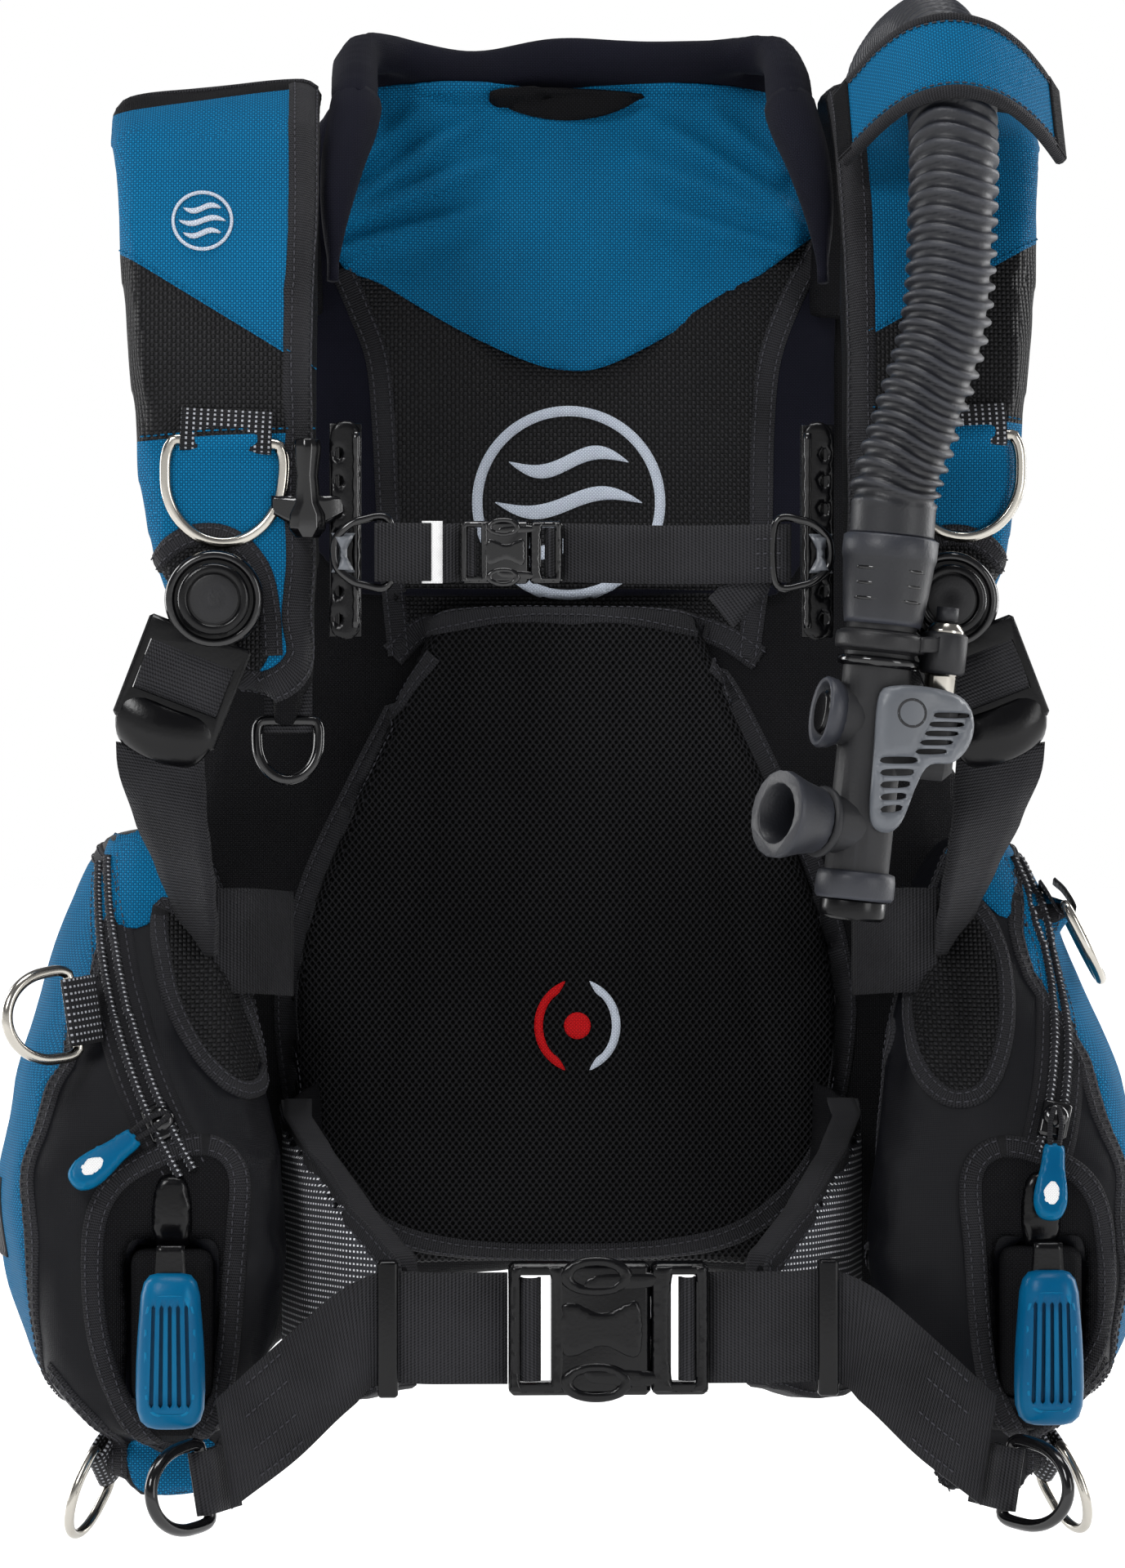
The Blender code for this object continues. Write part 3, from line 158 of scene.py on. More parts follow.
class Shade:
    """A small builder of node trees round one Principled shader."""

    def __init__(self, name, rough=0.6, **sockets):
        self.material = bpy.data.materials.new(name)
        self.material.use_nodes = True
        self.tree = self.material.node_tree
        self.shader = self.tree.nodes["Principled BSDF"]
        self.shader.inputs["Roughness"].default_value = rough
        for socket, value in sockets.items():
            self.shader.inputs[socket.replace("_", " ")].default_value = value
        self.coords = self.tree.nodes.new("ShaderNodeTexCoord")

    def math(self, operation, a, b=None, clamp=False):
        node = self.tree.nodes.new("ShaderNodeMath")
        node.operation, node.use_clamp = operation, clamp
        for socket, value in zip(node.inputs, (a, b)):
            if value is None:
                continue
            if isinstance(value, (int, float)):
                socket.default_value = value
            else:
                self.tree.links.new(value, socket)
        return node.outputs[0]

    def split(self, vector):
        node = self.tree.nodes.new("ShaderNodeSeparateXYZ")
        self.tree.links.new(vector, node.inputs[0])
        return node.outputs

    def flat(self):
        """Two coordinates in metres that lie in the surface, from the object's own axes and normal."""
        x, y, z = self.split(self.coords.outputs["Object"])
        nx, ny, nz = (self.math("ABSOLUTE", n) for n in self.split(self.coords.outputs["Normal"]))
        side = self.math("GREATER_THAN", nx, self.math("MAXIMUM", ny, nz))
        top = self.math("GREATER_THAN", nz, self.math("MAXIMUM", ny, nx))
        u = self.math("ADD", self.math("MULTIPLY", x, self.math("SUBTRACT", 1.0, side)),
            self.math("MULTIPLY", y, side))
        v = self.math("ADD", self.math("MULTIPLY", z, self.math("SUBTRACT", 1.0, top)), self.math("MULTIPLY", y, top))
        return u, v

    def strip(self):
        """Along and across a strip, in metres."""
        return self.split(self.coords.outputs["UV"])[:2]

    def wave(self, coordinate, pitch):
        return self.math("SINE", self.math("MULTIPLY", coordinate, 2 * math.pi / pitch))

    def grain(self, scale, detail=3.0):
        node = self.tree.nodes.new("ShaderNodeTexNoise")
        node.inputs["Scale"].default_value, node.inputs["Detail"].default_value = scale, detail
        self.tree.links.new(self.coords.outputs["Object"], node.inputs["Vector"])
        return node.outputs[0]

    def ramp(self, value, low, high, dark, light):
        node = self.tree.nodes.new("ShaderNodeValToRGB")
        node.color_ramp.elements[0].position, node.color_ramp.elements[0].color = low, dark
        node.color_ramp.elements[1].position, node.color_ramp.elements[1].color = high, light
        self.tree.links.new(value, node.inputs[0])
        return node.outputs[0]

    def blend(self, share, low, high):
        node = self.tree.nodes.new("ShaderNodeMix")
        node.data_type = "RGBA"
        for socket, value in ((node.inputs[0], share), (node.inputs[6], low), (node.inputs[7], high)):
            if isinstance(value, tuple):
                socket.default_value = value
            else:
                self.tree.links.new(value, socket)
        return node.outputs[2]

    def colour(self, value):
        self.tree.links.new(value, self.shader.inputs["Base Color"])

    def rough(self, value, low, high):
        node = self.tree.nodes.new("ShaderNodeMapRange")
        node.inputs["To Min"].default_value, node.inputs["To Max"].default_value = low, high
        self.tree.links.new(value, node.inputs[0])
        self.tree.links.new(node.outputs[0], self.shader.inputs["Roughness"])

    def bump(self, height, depth):
        node = self.tree.nodes.new("ShaderNodeBump")
        node.inputs["Distance"].default_value = depth
        self.tree.links.new(height, node.inputs["Height"])
        self.tree.links.new(node.outputs[0], self.shader.inputs["Normal"])


def woven(name, dark, light, pitch, depth, rough, sheen=0.0, strip=False, patchy=0.25, specular=0.06):
    """A plain weave: warp and weft bumps, slow variation in colour and gloss, and painted shade and sheen: darker
    between the threads, lighter on their tops, the warp lighter than the weft.
    """
    s = Shade(name, rough, Sheen_Weight=sheen, Sheen_Roughness=0.4, Specular_IOR_Level=specular)
    u, v = s.strip() if strip else s.flat()
    cells = s.math("MULTIPLY", s.wave(u, 2 * pitch), s.wave(v, 2 * pitch))
    height = s.math("ABSOLUTE", cells)
    warp = s.math("GREATER_THAN", cells, 0.0)
    # Painted shade and sheen: thread tops lighter, the hollows between threads darker, the warp lighter than the
    # weft.
    tone = s.math("ADD", s.math("MULTIPLY", height, 0.6), s.math("MULTIPLY", warp, 0.3))
    slow = s.grain(14.0)
    mixed = s.math("ADD", tone, s.math("MULTIPLY", s.math("SUBTRACT", slow, 0.5), patchy * 3), clamp=True)
    s.colour(s.ramp(mixed, 0.05, 0.95, dark, light))
    s.rough(slow, rough - 0.08, rough + 0.08)
    s.bump(s.math("ADD", height, s.math("MULTIPLY", s.grain(900.0), 0.35)), depth)
    return s.material


def ribbed(name, dark, light, pitch, depth, rough, edge=None, width=0.0, dash=3.2):
    """A woven tape or webbing: ribs with a fine twill, coloured lighter on the ribs and darker in the grooves as
    painted shade, and dashes of a bright thread if edge is given.
    """
    s = Shade(name, rough, Sheen_Weight=0.03, Specular_IOR_Level=0.09)
    u, v = s.strip()
    ribs = s.math("ABSOLUTE", s.wave(u, 2 * pitch))
    threads = s.math("ABSOLUTE", s.wave(s.math("ADD", v, s.math("MULTIPLY", u, 0.5)), 2 * pitch * 0.8))
    height = s.math("ADD", s.math("MULTIPLY", ribs, 0.6), s.math("MULTIPLY", threads, 0.4))
    slow = s.grain(22.0)
    # Painted shade: rib and thread tops lighter, the grooves between them darker.
    tone = s.math("ADD", height, s.math("SUBTRACT", slow, 0.5), clamp=True)
    colour = s.ramp(tone, 0.1, 0.95, dark, light)
    if edge:
        dashes = s.math("GREATER_THAN", s.wave(u, pitch * dash), 0.1)
        rows = s.math("GREATER_THAN", s.wave(v, width), 0.55)
        colour = s.blend(s.math("MULTIPLY", dashes, rows), colour, edge)
    s.colour(colour)
    s.rough(slow, rough - 0.08, rough + 0.08)
    s.bump(height, depth)
    return s.material


HOLE_HEIGHT = 1.25


def holed(name, dark, light, pitch, depth, rough):
    """A knitted spacer mesh: threads round staggered oval holes, with painted shade: the holes dark and the threads
    lighter towards their tops.
    """
    s = Shade(name, rough, Specular_IOR_Level=0.05)
    u, v = s.flat()
    cells = s.math("MULTIPLY", s.wave(s.math("ADD", u, s.math("MULTIPLY", v, 1 / HOLE_HEIGHT)), 2 * pitch),
        s.wave(s.math("SUBTRACT", u, s.math("MULTIPLY", v, 1 / HOLE_HEIGHT)), 2 * pitch))
    height = s.math("SUBTRACT", 1.0, s.math("POWER", s.math("ABSOLUTE", cells), 1.4))
    # Painted shade: dark in the holes, lighter on the raised threads.
    tone = s.math("MULTIPLY", height, s.math("ADD", 0.65, s.math("MULTIPLY", s.grain(9.0), 0.6)), clamp=True)
    s.colour(s.ramp(tone, 0.42, 0.95, dark, light))
    s.rough(height, rough + 0.15, rough)
    s.bump(s.math("ADD", height, s.math("MULTIPLY", s.grain(1300.0), 0.2)), depth)
    return s.material


def moulded(name, dark, light, rough, grain=600.0, depth=0.00006, specular=0.5, coat=0.0, metallic=0.0, wear=0.1):
    """Plastic, rubber or metal: fine texture, slow patches of gloss, and a scuffed, lighter tone on raised places."""
    s = Shade(name, rough, Specular_IOR_Level=specular, Coat_Weight=coat, Metallic=metallic)
    slow, fine = s.grain(11.0, 4.0), s.grain(grain, 2.0)
    geometry_node = s.tree.nodes.new("ShaderNodeNewGeometry")
    edges = s.math("MULTIPLY", s.math("SUBTRACT", geometry_node.outputs["Pointiness"], 0.52), 6.0, clamp=True)
    tone = s.math("ADD", s.math("MULTIPLY", slow, 0.7), s.math("MULTIPLY", edges, wear * 5), clamp=True)
    s.colour(s.ramp(tone, 0.2, 0.9, dark, light))
    s.rough(s.math("ADD", s.math("MULTIPLY", slow, 0.6), s.math("MULTIPLY", fine, 0.4)), rough - 0.06, rough + 0.09)
    s.bump(fine, depth)
    return s.material


BLUE = woven("blue pack cloth", rgb(2, 42, 70), rgb(13, 118, 166), 0.0011, 0.0003, 0.6, patchy=0.08)
BALLISTIC = woven("black ballistic", rgb(1, 1, 1), rgb(39, 39, 41), 0.0019, 0.00075, 0.46, patchy=0.12, specular=0.1)
NYLON = woven("black nylon", rgb(2, 2, 3), rgb(26, 26, 28), 0.0009, 0.00025, 0.6)
COATED = woven("coated fabric", rgb(5, 5, 8), rgb(17, 18, 22), 0.0006, 0.00008, 0.38, patchy=0.15, specular=0.12)
NEOPRENE = woven("neoprene jersey", rgb(5, 6, 12), rgb(23, 23, 34), 0.0008, 0.00012, 0.78, sheen=0.02)
MESH = holed("spacer mesh", rgb(0, 0, 0), rgb(31, 31, 33), 0.0031, 0.0013, 0.55)
BINDING = ribbed("binding tape", rgb(2, 2, 3), rgb(40, 40, 43), 0.0012, 0.0004, 0.6)
WEBBING = ribbed("nylon webbing", rgb(3, 3, 4), rgb(41, 41, 44), 0.0016, 0.0005, 0.46)
REFLECT = ribbed("flecked webbing", rgb(4, 4, 5), rgb(32, 32, 35), 0.0009, 0.0003, 0.5, edge=rgb(150, 152, 158),
    width=0.003, dash=2.4)
ZIP_TAPE = ribbed("zip tape", rgb(2, 2, 3), rgb(30, 30, 33), 0.001, 0.0002, 0.6)
ZIP_COIL = ribbed("zip coil", rgb(5, 5, 6), rgb(46, 46, 50), 0.001, 0.0003, 0.45, edge=rgb(165, 167, 172),
    width=0.00471, dash=2.3)
GREY_MESH = ribbed("flecked mesh", rgb(9, 9, 10), rgb(66, 67, 72), 0.001, 0.0004, 0.55, edge=rgb(240, 241, 245),
    width=0.0027, dash=2.2)
# The stitching thread is black. Its colour is painted lighter as a painted highlight, so the stitches show as light
# dashes.
THREAD_PAINTED_HIGHLIGHT = moulded("thread", rgb(10, 10, 12), rgb(52, 52, 57), 0.6, grain=2500.0, depth=0.0001, specular=0.2)
SILVER = woven("silver thread", rgb(140, 148, 162), rgb(214, 221, 231), 0.0008, 0.00025, 0.38, patchy=0.1)
RED = woven("red thread", rgb(120, 6, 10), rgb(214, 26, 30), 0.0008, 0.00025, 0.42, patchy=0.1)
WHITE = woven("white satin", rgb(190, 190, 190), rgb(236, 236, 236), 0.0006, 0.00008, 0.5, patchy=0.08)
SATIN = moulded("black plastic", rgb(2, 2, 3), rgb(12, 12, 14), 0.22, specular=0.22, wear=0.04)
GLOSS = moulded("gloss black plastic", rgb(3, 3, 4), rgb(12, 12, 14), 0.14, coat=0.2, depth=0.00002, specular=0.4)
MATT = moulded("matt black plastic", rgb(8, 8, 10), rgb(27, 27, 30), 0.45, grain=1200.0, depth=0.0001, specular=0.32)
GREY = moulded("grey plastic", rgb(58, 61, 66), rgb(100, 104, 110), 0.4, grain=900.0)
BLUE_PLASTIC = moulded("blue plastic", rgb(0, 62, 98), rgb(4, 108, 148), 0.3, grain=900.0, specular=0.1)
RUBBER = moulded("hose rubber", rgb(16, 17, 21), rgb(44, 46, 53), 0.44, grain=800.0, depth=0.00012, wear=0.25,
    specular=0.36)
DARK_RUBBER = moulded("soft rubber", rgb(8, 8, 10), rgb(31, 32, 36), 0.52, grain=700.0, depth=0.0001, specular=0.34)
STEEL = moulded("brushed steel", rgb(150, 146, 138), rgb(225, 221, 212), 0.17, grain=300.0, depth=0.00002,
    metallic=1.0)

# --- meshes --------------------------------------------------------------------------------------


def add(name, points, faces, material, body, uvs=None):
    """A mesh object of these points and faces that rides on a body."""
    mesh = bpy.data.meshes.new(name)
    mesh.from_pydata([tuple(p) for p in points], [], faces)
    if uvs:
        layer = mesh.uv_layers.new(name="UVMap")
        for loop in mesh.loops:
            layer.data[loop.index].uv = uvs[loop.vertex_index]
    mesh.polygons.foreach_set("use_smooth", [True] * len(mesh.polygons))
    mesh.materials.append(material)
    tidy(mesh)
    obj = bpy.data.objects.new(name, mesh)
    bpy.context.scene.collection.objects.link(obj)
    if body:
        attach(obj, body)
    return obj


def tidy(mesh):
    """Faces outwards."""
    bm = bmesh.new()
    bm.from_mesh(mesh)
    bmesh.ops.recalc_face_normals(bm, faces=bm.faces)
    bm.to_mesh(mesh)
    bm.free()


def line_through(points, step, closed=False):
    """Evenly spaced points of a smooth curve through the given ones."""
    points = [Vector(p) for p in points]
    count = len(points)
    dense = []
    for i in range(count if closed else count - 1):
        if closed:
            a, b, c, d = (points[(i + k) % count] for k in (-1, 0, 1, 2))
        else:
            b, c = points[i], points[i + 1]
            a = points[i - 1] if i else 2 * b - c
            d = points[i + 2] if i + 2 < count else 2 * c - b
        for k in range(16):
            t = k / 16
            dense.append(0.5 * (2 * b + (c - a) * t + (2 * a - 5 * b + 4 * c - d) * t * t
                + (3 * b - a - 3 * c + d) * t ** 3))
    dense.append(points[0].copy() if closed else points[-1])
    lengths = [0.0]
    for p, q in zip(dense, dense[1:]):
        lengths.append(lengths[-1] + (q - p).length)
    pieces = max(2, round(lengths[-1] / step))
    line, k = [], 0
    for i in range(pieces + (0 if closed else 1)):
        want = lengths[-1] * i / pieces
        while k < len(dense) - 2 and lengths[k + 1] < want:
            k += 1
        span = max(lengths[k + 1] - lengths[k], 1e-9)
        line.append(dense[k].lerp(dense[k + 1], min(1.0, max(0.0, (want - lengths[k]) / span))))
    return line


def length_of(line):
    return sum((q - p).length for p, q in zip(line, line[1:]))


def directions(line, closed=False):
    count = len(line)
    found = []
    for i in range(count):
        a = line[(i - 1) % count if closed else max(i - 1, 0)]
        b = line[(i + 1) % count if closed else min(i + 1, count - 1)]
        found.append((b - a).normalized())
    return found


def frames_along(line, closed=False, start=None):
    """(point, direction, side, up) along a line, carried without twist."""
    ways = directions(line, closed)
    side = (start or (X if abs(ways[0].x) < 0.8 else Y))
    found = []
    for point, way in zip(line, ways):
        side = (side - way * side.dot(way)).normalized()
        found.append((point, way, side, way.cross(side)))
    return found


def ring_faces(rings, around, closed_line=False):
    faces = []
    for i in range(rings if closed_line else rings - 1):
        j = (i + 1) % rings
        for k in range(around):
            m = (k + 1) % around
            faces.append((i * around + k, i * around + m, j * around + m, j * around + k))
    if not closed_line:
        faces.append(tuple(range(around)))
        faces.append(tuple((rings - 1) * around + k for k in reversed(range(around))))
    return faces


def tube(name, line, radius, material, body, around=12, closed=False, start=None):
    """A round rod or hose along a line. radius is a number, or a function of (distance, angle)."""
    points, uvs, run = [], [], 0.0
    rows = frames_along(line, closed, start)
    for i, (point, _, side, up) in enumerate(rows):
        if i:
            run += (point - rows[i - 1][0]).length
        for k in range(around):
            angle = 2 * math.pi * k / around
            r = radius(run, angle) if callable(radius) else radius
            points.append(point + r * (math.cos(angle) * side + math.sin(angle) * up))
            uvs.append((run, 0.003 * angle))
    return add(name, points, ring_faces(len(rows), around, closed), material, body, uvs)


def lathe(name, profile, centre, axis, material, body, around=40, ribs=None):
    """A solid of revolution from (radius, height) points. ribs is (count, depth, from, to) of a fluted edge."""
    axis = Vector(axis).normalized()
    side = axis.orthogonal().normalized()
    up = axis.cross(side)
    points = []
    for radius, height in profile:
        for k in range(around):
            angle = 2 * math.pi * k / around
            r = radius
            if ribs and ribs[2] <= height <= ribs[3]:
                r += ribs[1] * (0.5 + 0.5 * math.cos(ribs[0] * angle))
            points.append(Vector(centre) + axis * height + r * (math.cos(angle) * side + math.sin(angle) * up))
    return add(name, points, ring_faces(len(profile), around), material, body)


class Skin:
    """The surface of finished pieces, for laying patches, tapes and stitches on."""

    def __init__(self, *objects):
        graph = bpy.context.evaluated_depsgraph_get()
        points, faces = [], []
        for obj in objects:
            made = obj.evaluated_get(graph)
            mesh = made.to_mesh()
            first = len(points)
            points += [made.matrix_world @ v.co for v in mesh.vertices]
            faces += [tuple(first + i for i in p.vertices) for p in mesh.polygons]
            made.to_mesh_clear()
        self.tree = BVHTree.FromPolygons(points, faces)

    def drop(self, point, way=Y, reach=0.12):
        """(place, normal) where a ray along way through the point meets the surface, or else the nearest place."""
        place, normal, _, _ = self.tree.ray_cast(point - reach * way, way, 2 * reach)
        if place is None:
            place, normal, _, _ = self.tree.find_nearest(point)
        return place, normal


def front(x, z):
    return Vector((x, -0.15, z))


def laid(skin, line, way=Y, lift=0.0, closed=False):
    """A line of (x, z) pairs or 3-D points, smoothed and dropped on a skin."""
    line = line_through([front(*p) if len(p) == 2 else p for p in line], 0.003, closed)
    found = [skin.drop(p, way) for p in line]
    return [p + n * lift for p, n in found], [n for _, n in found]


STITCHES = {}


def stitch_row(body, line, normals, pitch=0.0036, long=0.0026, material="dark"):
    """Adds the stitches of one row to its body's pile. Each is a small rounded bar."""
    pile = STITCHES.setdefault((body, material), ([], []))
    run, due = 0.0, pitch / 2
    for (p, q), n in zip(zip(line, line[1:]), normals):
        span = (q - p).length
        while span > 1e-9 and run + span > due:
            centre = p.lerp(q, (due - run) / span)
            due += pitch
            way = (q - p).normalized()
            side = way.cross(n).normalized()
            up = side.cross(way).normalized()
            up = up if up.dot(n) > 0 else -up
            first = len(pile[0])
            for along, wide, high in ((-0.5, 0.0, -0.0001), (-0.32, 0.0003, 0.0001), (0.32, 0.0003, 0.0001),
                    (0.5, 0.0, -0.0001)):
                for k in range(6):
                    a = math.pi / 3 * k
                    pile[0].append(centre + way * along * long + side * wide * 1.25 * math.cos(a)
                        + up * (high + 0.00015 + wide * 1.1 * math.sin(a)))
            pile[1].extend(tuple(first + i for i in face) for face in ring_faces(4, 6))
        run += span


def make_stitches():
    for (body, kind), (points, faces) in STITCHES.items():
        material = {"dark": THREAD_PAINTED_HIGHLIGHT, "white": SILVER, "blue": BLUE}[kind]
        add(f"stitches_{kind}_{body}", points, faces, material, body)


def tape(name, skin, path, width, material=None, way=Y, thick=0.0011, rows=2, closed=False, inset=0.0022):
    """A tape sewn flat on a skin along a path, with one or two rows of stitches."""
    middle, normals = laid(skin, path, way, closed=closed)
    sink = 0.0016
    ways = directions(middle, closed)
    for _ in range(2):
        normals = [(normals[max(i - 1, 0)] + n + normals[min(i + 1, len(normals) - 1)]).normalized() for i,
            n in enumerate(normals)]
    section = ((-0.5, -sink), (-0.5, 0.35 * thick), (-0.42, 0.9 * thick), (-0.2, thick), (0.0, 1.05 * thick),
        (0.2, thick), (0.42, 0.9 * thick), (0.5, 0.35 * thick), (0.5, -sink))
    points, uvs, run = [], [], 0.0
    edges = ([], [])
    for i, (p, n, w) in enumerate(zip(middle, normals, ways)):
        run += (p - middle[i - 1]).length if i else 0
        side = w.cross(n).normalized()
        for across, high in section:
            at = p + side * across * width
            place, _ = skin.drop(at, -n, 0.015)
            if (place - at).length > 0.012:
                place = at
            points.append(place + n * high)
            uvs.append((run, across * width))
        for row, edge in zip((-1, 1), edges):
            at, _ = skin.drop(p + side * row * (width / 2 - inset), -n, 0.015)
            edge.append(at + n * (thick + 0.0001))
    add(name, points, ring_faces(len(middle), len(section), closed), material or BINDING, "harness",
        uvs)
    for edge in edges[:rows]:
        stitch_row("harness", edge, normals)


def inside(point, outline):
    hit = False
    for (x1, y1), (x2, y2) in zip(outline, outline[1:] + outline[:1]):
        if (y1 > point[1]) != (y2 > point[1]) and point[0] < (x2 - x1) * (point[1] - y1) / (y2 - y1) + x1:
            hit = not hit
    return hit


def rounded_outline(points, step, smooth=True):
    line = line_through([(p[0], p[1], 0) for p in points], step, True) if smooth else None
    if line is None:
        corners = [Vector((p[0], p[1], 0)) for p in points]
        line = []
        for p, q in zip(corners, corners[1:] + corners[:1]):
            count = max(1, round((q - p).length / step))
            line += [p.lerp(q, i / count) for i in range(count)]
    return [(p.x, p.y) for p in line]


EDGE_DROP = 0.6


def sheet_piece(name, outline, place, material, body, slot="black_plastic", holes=(), thick=0.001, step=0.004,
        smooth=True):
    """A closed sheet: outline and holes in two coordinates, and place(u, v) gives its outer point and normal."""
    outline = rounded_outline(outline, step, smooth)
    holes = [rounded_outline(h, min(step, 0.0015), True) for h in holes]
    loops, flat_points, edges = [outline, *holes], [], []
    for loop in loops:
        first = len(flat_points)
        flat_points += loop
        edges += [(first + i, first + (i + 1) % len(loop)) for i in range(len(loop))]
    low = [min(p[k] for p in outline) for k in (0, 1)]
    high = [max(p[k] for p in outline) for k in (0, 1)]
    rim = [Vector(p) for loop in loops for p in loop]
    v, row = low[1] + step / 2, 0
    grid = {}
    for p in rim:
        grid.setdefault((int(p.x // step), int(p.y // step)), []).append(p)
    while v < high[1]:
        u = low[0] + step / 2 * (1 + row % 2)
        while u < high[0]:
            here = Vector((u, v))
            cell = (int(u // step), int(v // step))
            close = any((here - q).length < 0.55 * step for a in (-1, 0, 1) for b in (-1, 0, 1)
                for q in grid.get((cell[0] + a, cell[1] + b), ()))
            if not close and inside((u, v), outline) and not any(inside((u, v), h) for h in holes):
                flat_points.append((u, v))
            u += step
        v += step * 0.87
        row += 1
    made = geometry.delaunay_2d_cdt([Vector(p) for p in flat_points], edges, [list(range(len(outline)))], 1, 1e-7)
    flat_points, faces = made[0], made[2]
    kept = []
    for face in faces:
        middle = sum((flat_points[i] for i in face), Vector((0, 0))) / len(face)
        if not any(inside(middle, h) for h in holes):
            kept.append(tuple(face))
    used = {}
    for face in kept:
        for a, b in zip(face, face[1:] + face[:1]):
            used[(a, b)] = used.get((a, b), 0) + 1
    border = [(a, b) for a, b in used if (b, a) not in used]
    on_border = {i for pair in border for i in pair}
    tops, bottoms, uvs = [], [], []
    for i, p in enumerate(flat_points):
        at, normal = place(p.x, p.y)
        drop = thick * EDGE_DROP if i in on_border else 0
        tops.append(at - normal * drop)
        bottoms.append(at - normal * (thick + 0.0006))
        uvs.append((p.x, p.y))
    count = len(tops)
    all_faces = kept + [tuple(i + count for i in reversed(f)) for f in kept]
    all_faces += [(b, a, a + count, b + count) for a, b in border]
    return add(name, tops + bottoms, all_faces, material, body, uvs + uvs)


def patch(name, skin, outline, material, slot="black_cloth", lift=0.0009, way=Y, depth=-0.15, reach=0.35, puff=None,
        **more):
    """A panel of cloth sewn on a skin; outline is in (x, z), or in (y, z) where way runs along X."""
    def place(u, v):
        point = Vector((u, depth, v)) if abs(way.y) > 0.5 else Vector((0, u, v))
        at, normal = skin.drop(point, way, reach)
        normal = normal if normal.dot(way) < 0 else -way
        return at + normal * (lift + (puff(u, v) if puff else 0.0)), normal
    sheet_piece(name, outline, place, material, "harness", slot, **more)


def facing(x, y, z):
    """place() for a plate that faces forward."""
    return lambda u, v: (Vector((x + u, y, z + v)), -Y)


def baked(obj):
    """The object's mesh with its modifiers applied."""
    graph = bpy.context.evaluated_depsgraph_get()
    mesh = bpy.data.meshes.new_from_object(obj.evaluated_get(graph))
    obj.modifiers.clear()
    old, obj.data = obj.data, mesh
    bpy.data.meshes.remove(old)


def copy_of(name, node, voxel):
    """A voxel remesh of a CAD node's solids, as a new object."""
    bm = bmesh.new()
    bm.from_mesh(NODES[node].data)
    bmesh.ops.remove_doubles(bm, verts=bm.verts, dist=1e-5)
    mesh = bpy.data.meshes.new(name)
    bm.to_mesh(mesh)
    bm.free()
    obj = bpy.data.objects.new(name, mesh)
    bpy.context.scene.collection.objects.link(obj)
    remesh = obj.modifiers.new("remesh", "REMESH")
    remesh.mode, remesh.voxel_size, remesh.use_smooth_shade = "VOXEL", voxel, True
    baked(obj)
    return obj


def relax(obj, turns):
    smooth = obj.modifiers.new("smooth", "SMOOTH")
    smooth.iterations, smooth.factor = turns, 0.5
    baked(obj)


def points_of(mesh):
    """Every vertex's place and normal."""
    found = []
    for source, key in ((mesh.vertices, "co"), (mesh.vertex_normals, "vector")):
        flat = np.empty(len(mesh.vertices) * 3, np.float32)
        source.foreach_get(key, flat)
        found.append(flat.reshape(-1, 3).astype(float))
    return found


def set_points(mesh, points):
    mesh.vertices.foreach_set("co", np.asarray(points, np.float32).ravel())
    mesh.update()


CLOTH_FRAMES, CLOTH_MASS = 20, 0.3


def inflate(obj, pressure, cap):
    """Swells a closed cloth shell by simulation, with how far a point may move held to cap."""
    rest, normals = points_of(obj.data)
    cloth = obj.modifiers.new("cloth", "CLOTH")
    cloth.settings.quality = 4
    cloth.settings.mass = CLOTH_MASS
    cloth.settings.use_pressure = True
    cloth.settings.uniform_pressure_force = pressure
    cloth.settings.effector_weights.gravity = 0
    cloth.collision_settings.use_collision = False
    scene = bpy.context.scene
    cloth.point_cache.frame_start, cloth.point_cache.frame_end = 1, CLOTH_FRAMES
    for f in range(1, CLOTH_FRAMES + 1):
        scene.frame_set(f)
    baked(obj)
    scene.frame_set(1)
    shift = points_of(obj.data)[0] - rest
    far = np.linalg.norm(shift, axis=1, keepdims=True)
    set_points(obj.data, rest + shift * np.minimum(1.0, cap / np.maximum(far, 1e-9)))


def soft(node, kind, voxel, material, body="harness", pressure=4.0, cap=0.004, turns=6,
        shape=None):
    """A sewn, filled piece in place of a CAD node: remeshed, swollen, smoothed and shaped."""
    obj = copy_of(f"{node}_{kind}", node, voxel)
    relax(obj, turns)
    if pressure:
        inflate(obj, pressure, cap)
        relax(obj, 3)
    if shape:
        places, normals = points_of(obj.data)
        set_points(obj.data, [shape(Vector(p), Vector(n)) for p, n in zip(places, normals)])
    obj.data.materials.clear()
    obj.data.materials.append(material)
    obj.data.polygons.foreach_set("use_smooth", [True] * len(obj.data.polygons))
    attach(obj, body)
    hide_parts(node)
    return obj


def cut(obj, planes):
    """Splits faces along planes, so that a change of material has a clean edge. planes: (point, normal)."""
    bm = bmesh.new()
    bm.from_mesh(obj.data)
    for point, normal in planes:
        bmesh.ops.bisect_plane(bm, geom=bm.verts[:] + bm.edges[:] + bm.faces[:], dist=1e-6, plane_co=point,
            plane_no=normal)
    bmesh.ops.triangulate(bm, faces=[f for f in bm.faces if len(f.verts) > 4])
    bm.to_mesh(obj.data)
    bm.free()


def paint(obj, materials, choose):
    """Gives each face the material whose number choose(centre, normal) says."""
    for material in materials:
        obj.data.materials.append(material)
    for face in obj.data.polygons:
        face.material_index = choose(face.center, face.normal)

# --- the hose, which is the object's one cord ------------------------------------------------------

HOSE_POINTS = mm((150, 13, 269), (150, 12.5, 290), (152, 2, 313), (154.5, -20, 332), (158, -56, 340),
    (160.5, -102, 341), (162, -150, 337), (162.5, -196, 320), (162, -233, 290), (160, -252, 250), (156, -259, 200),
    (143, -262, 156), (134.5, -264, 129.8), (132.1, -264, 107.1))
RIB_PITCH = 0.0071
BORE_R, PLAIN_END, RIB_FADE = 0.0183, 0.012, 0.006


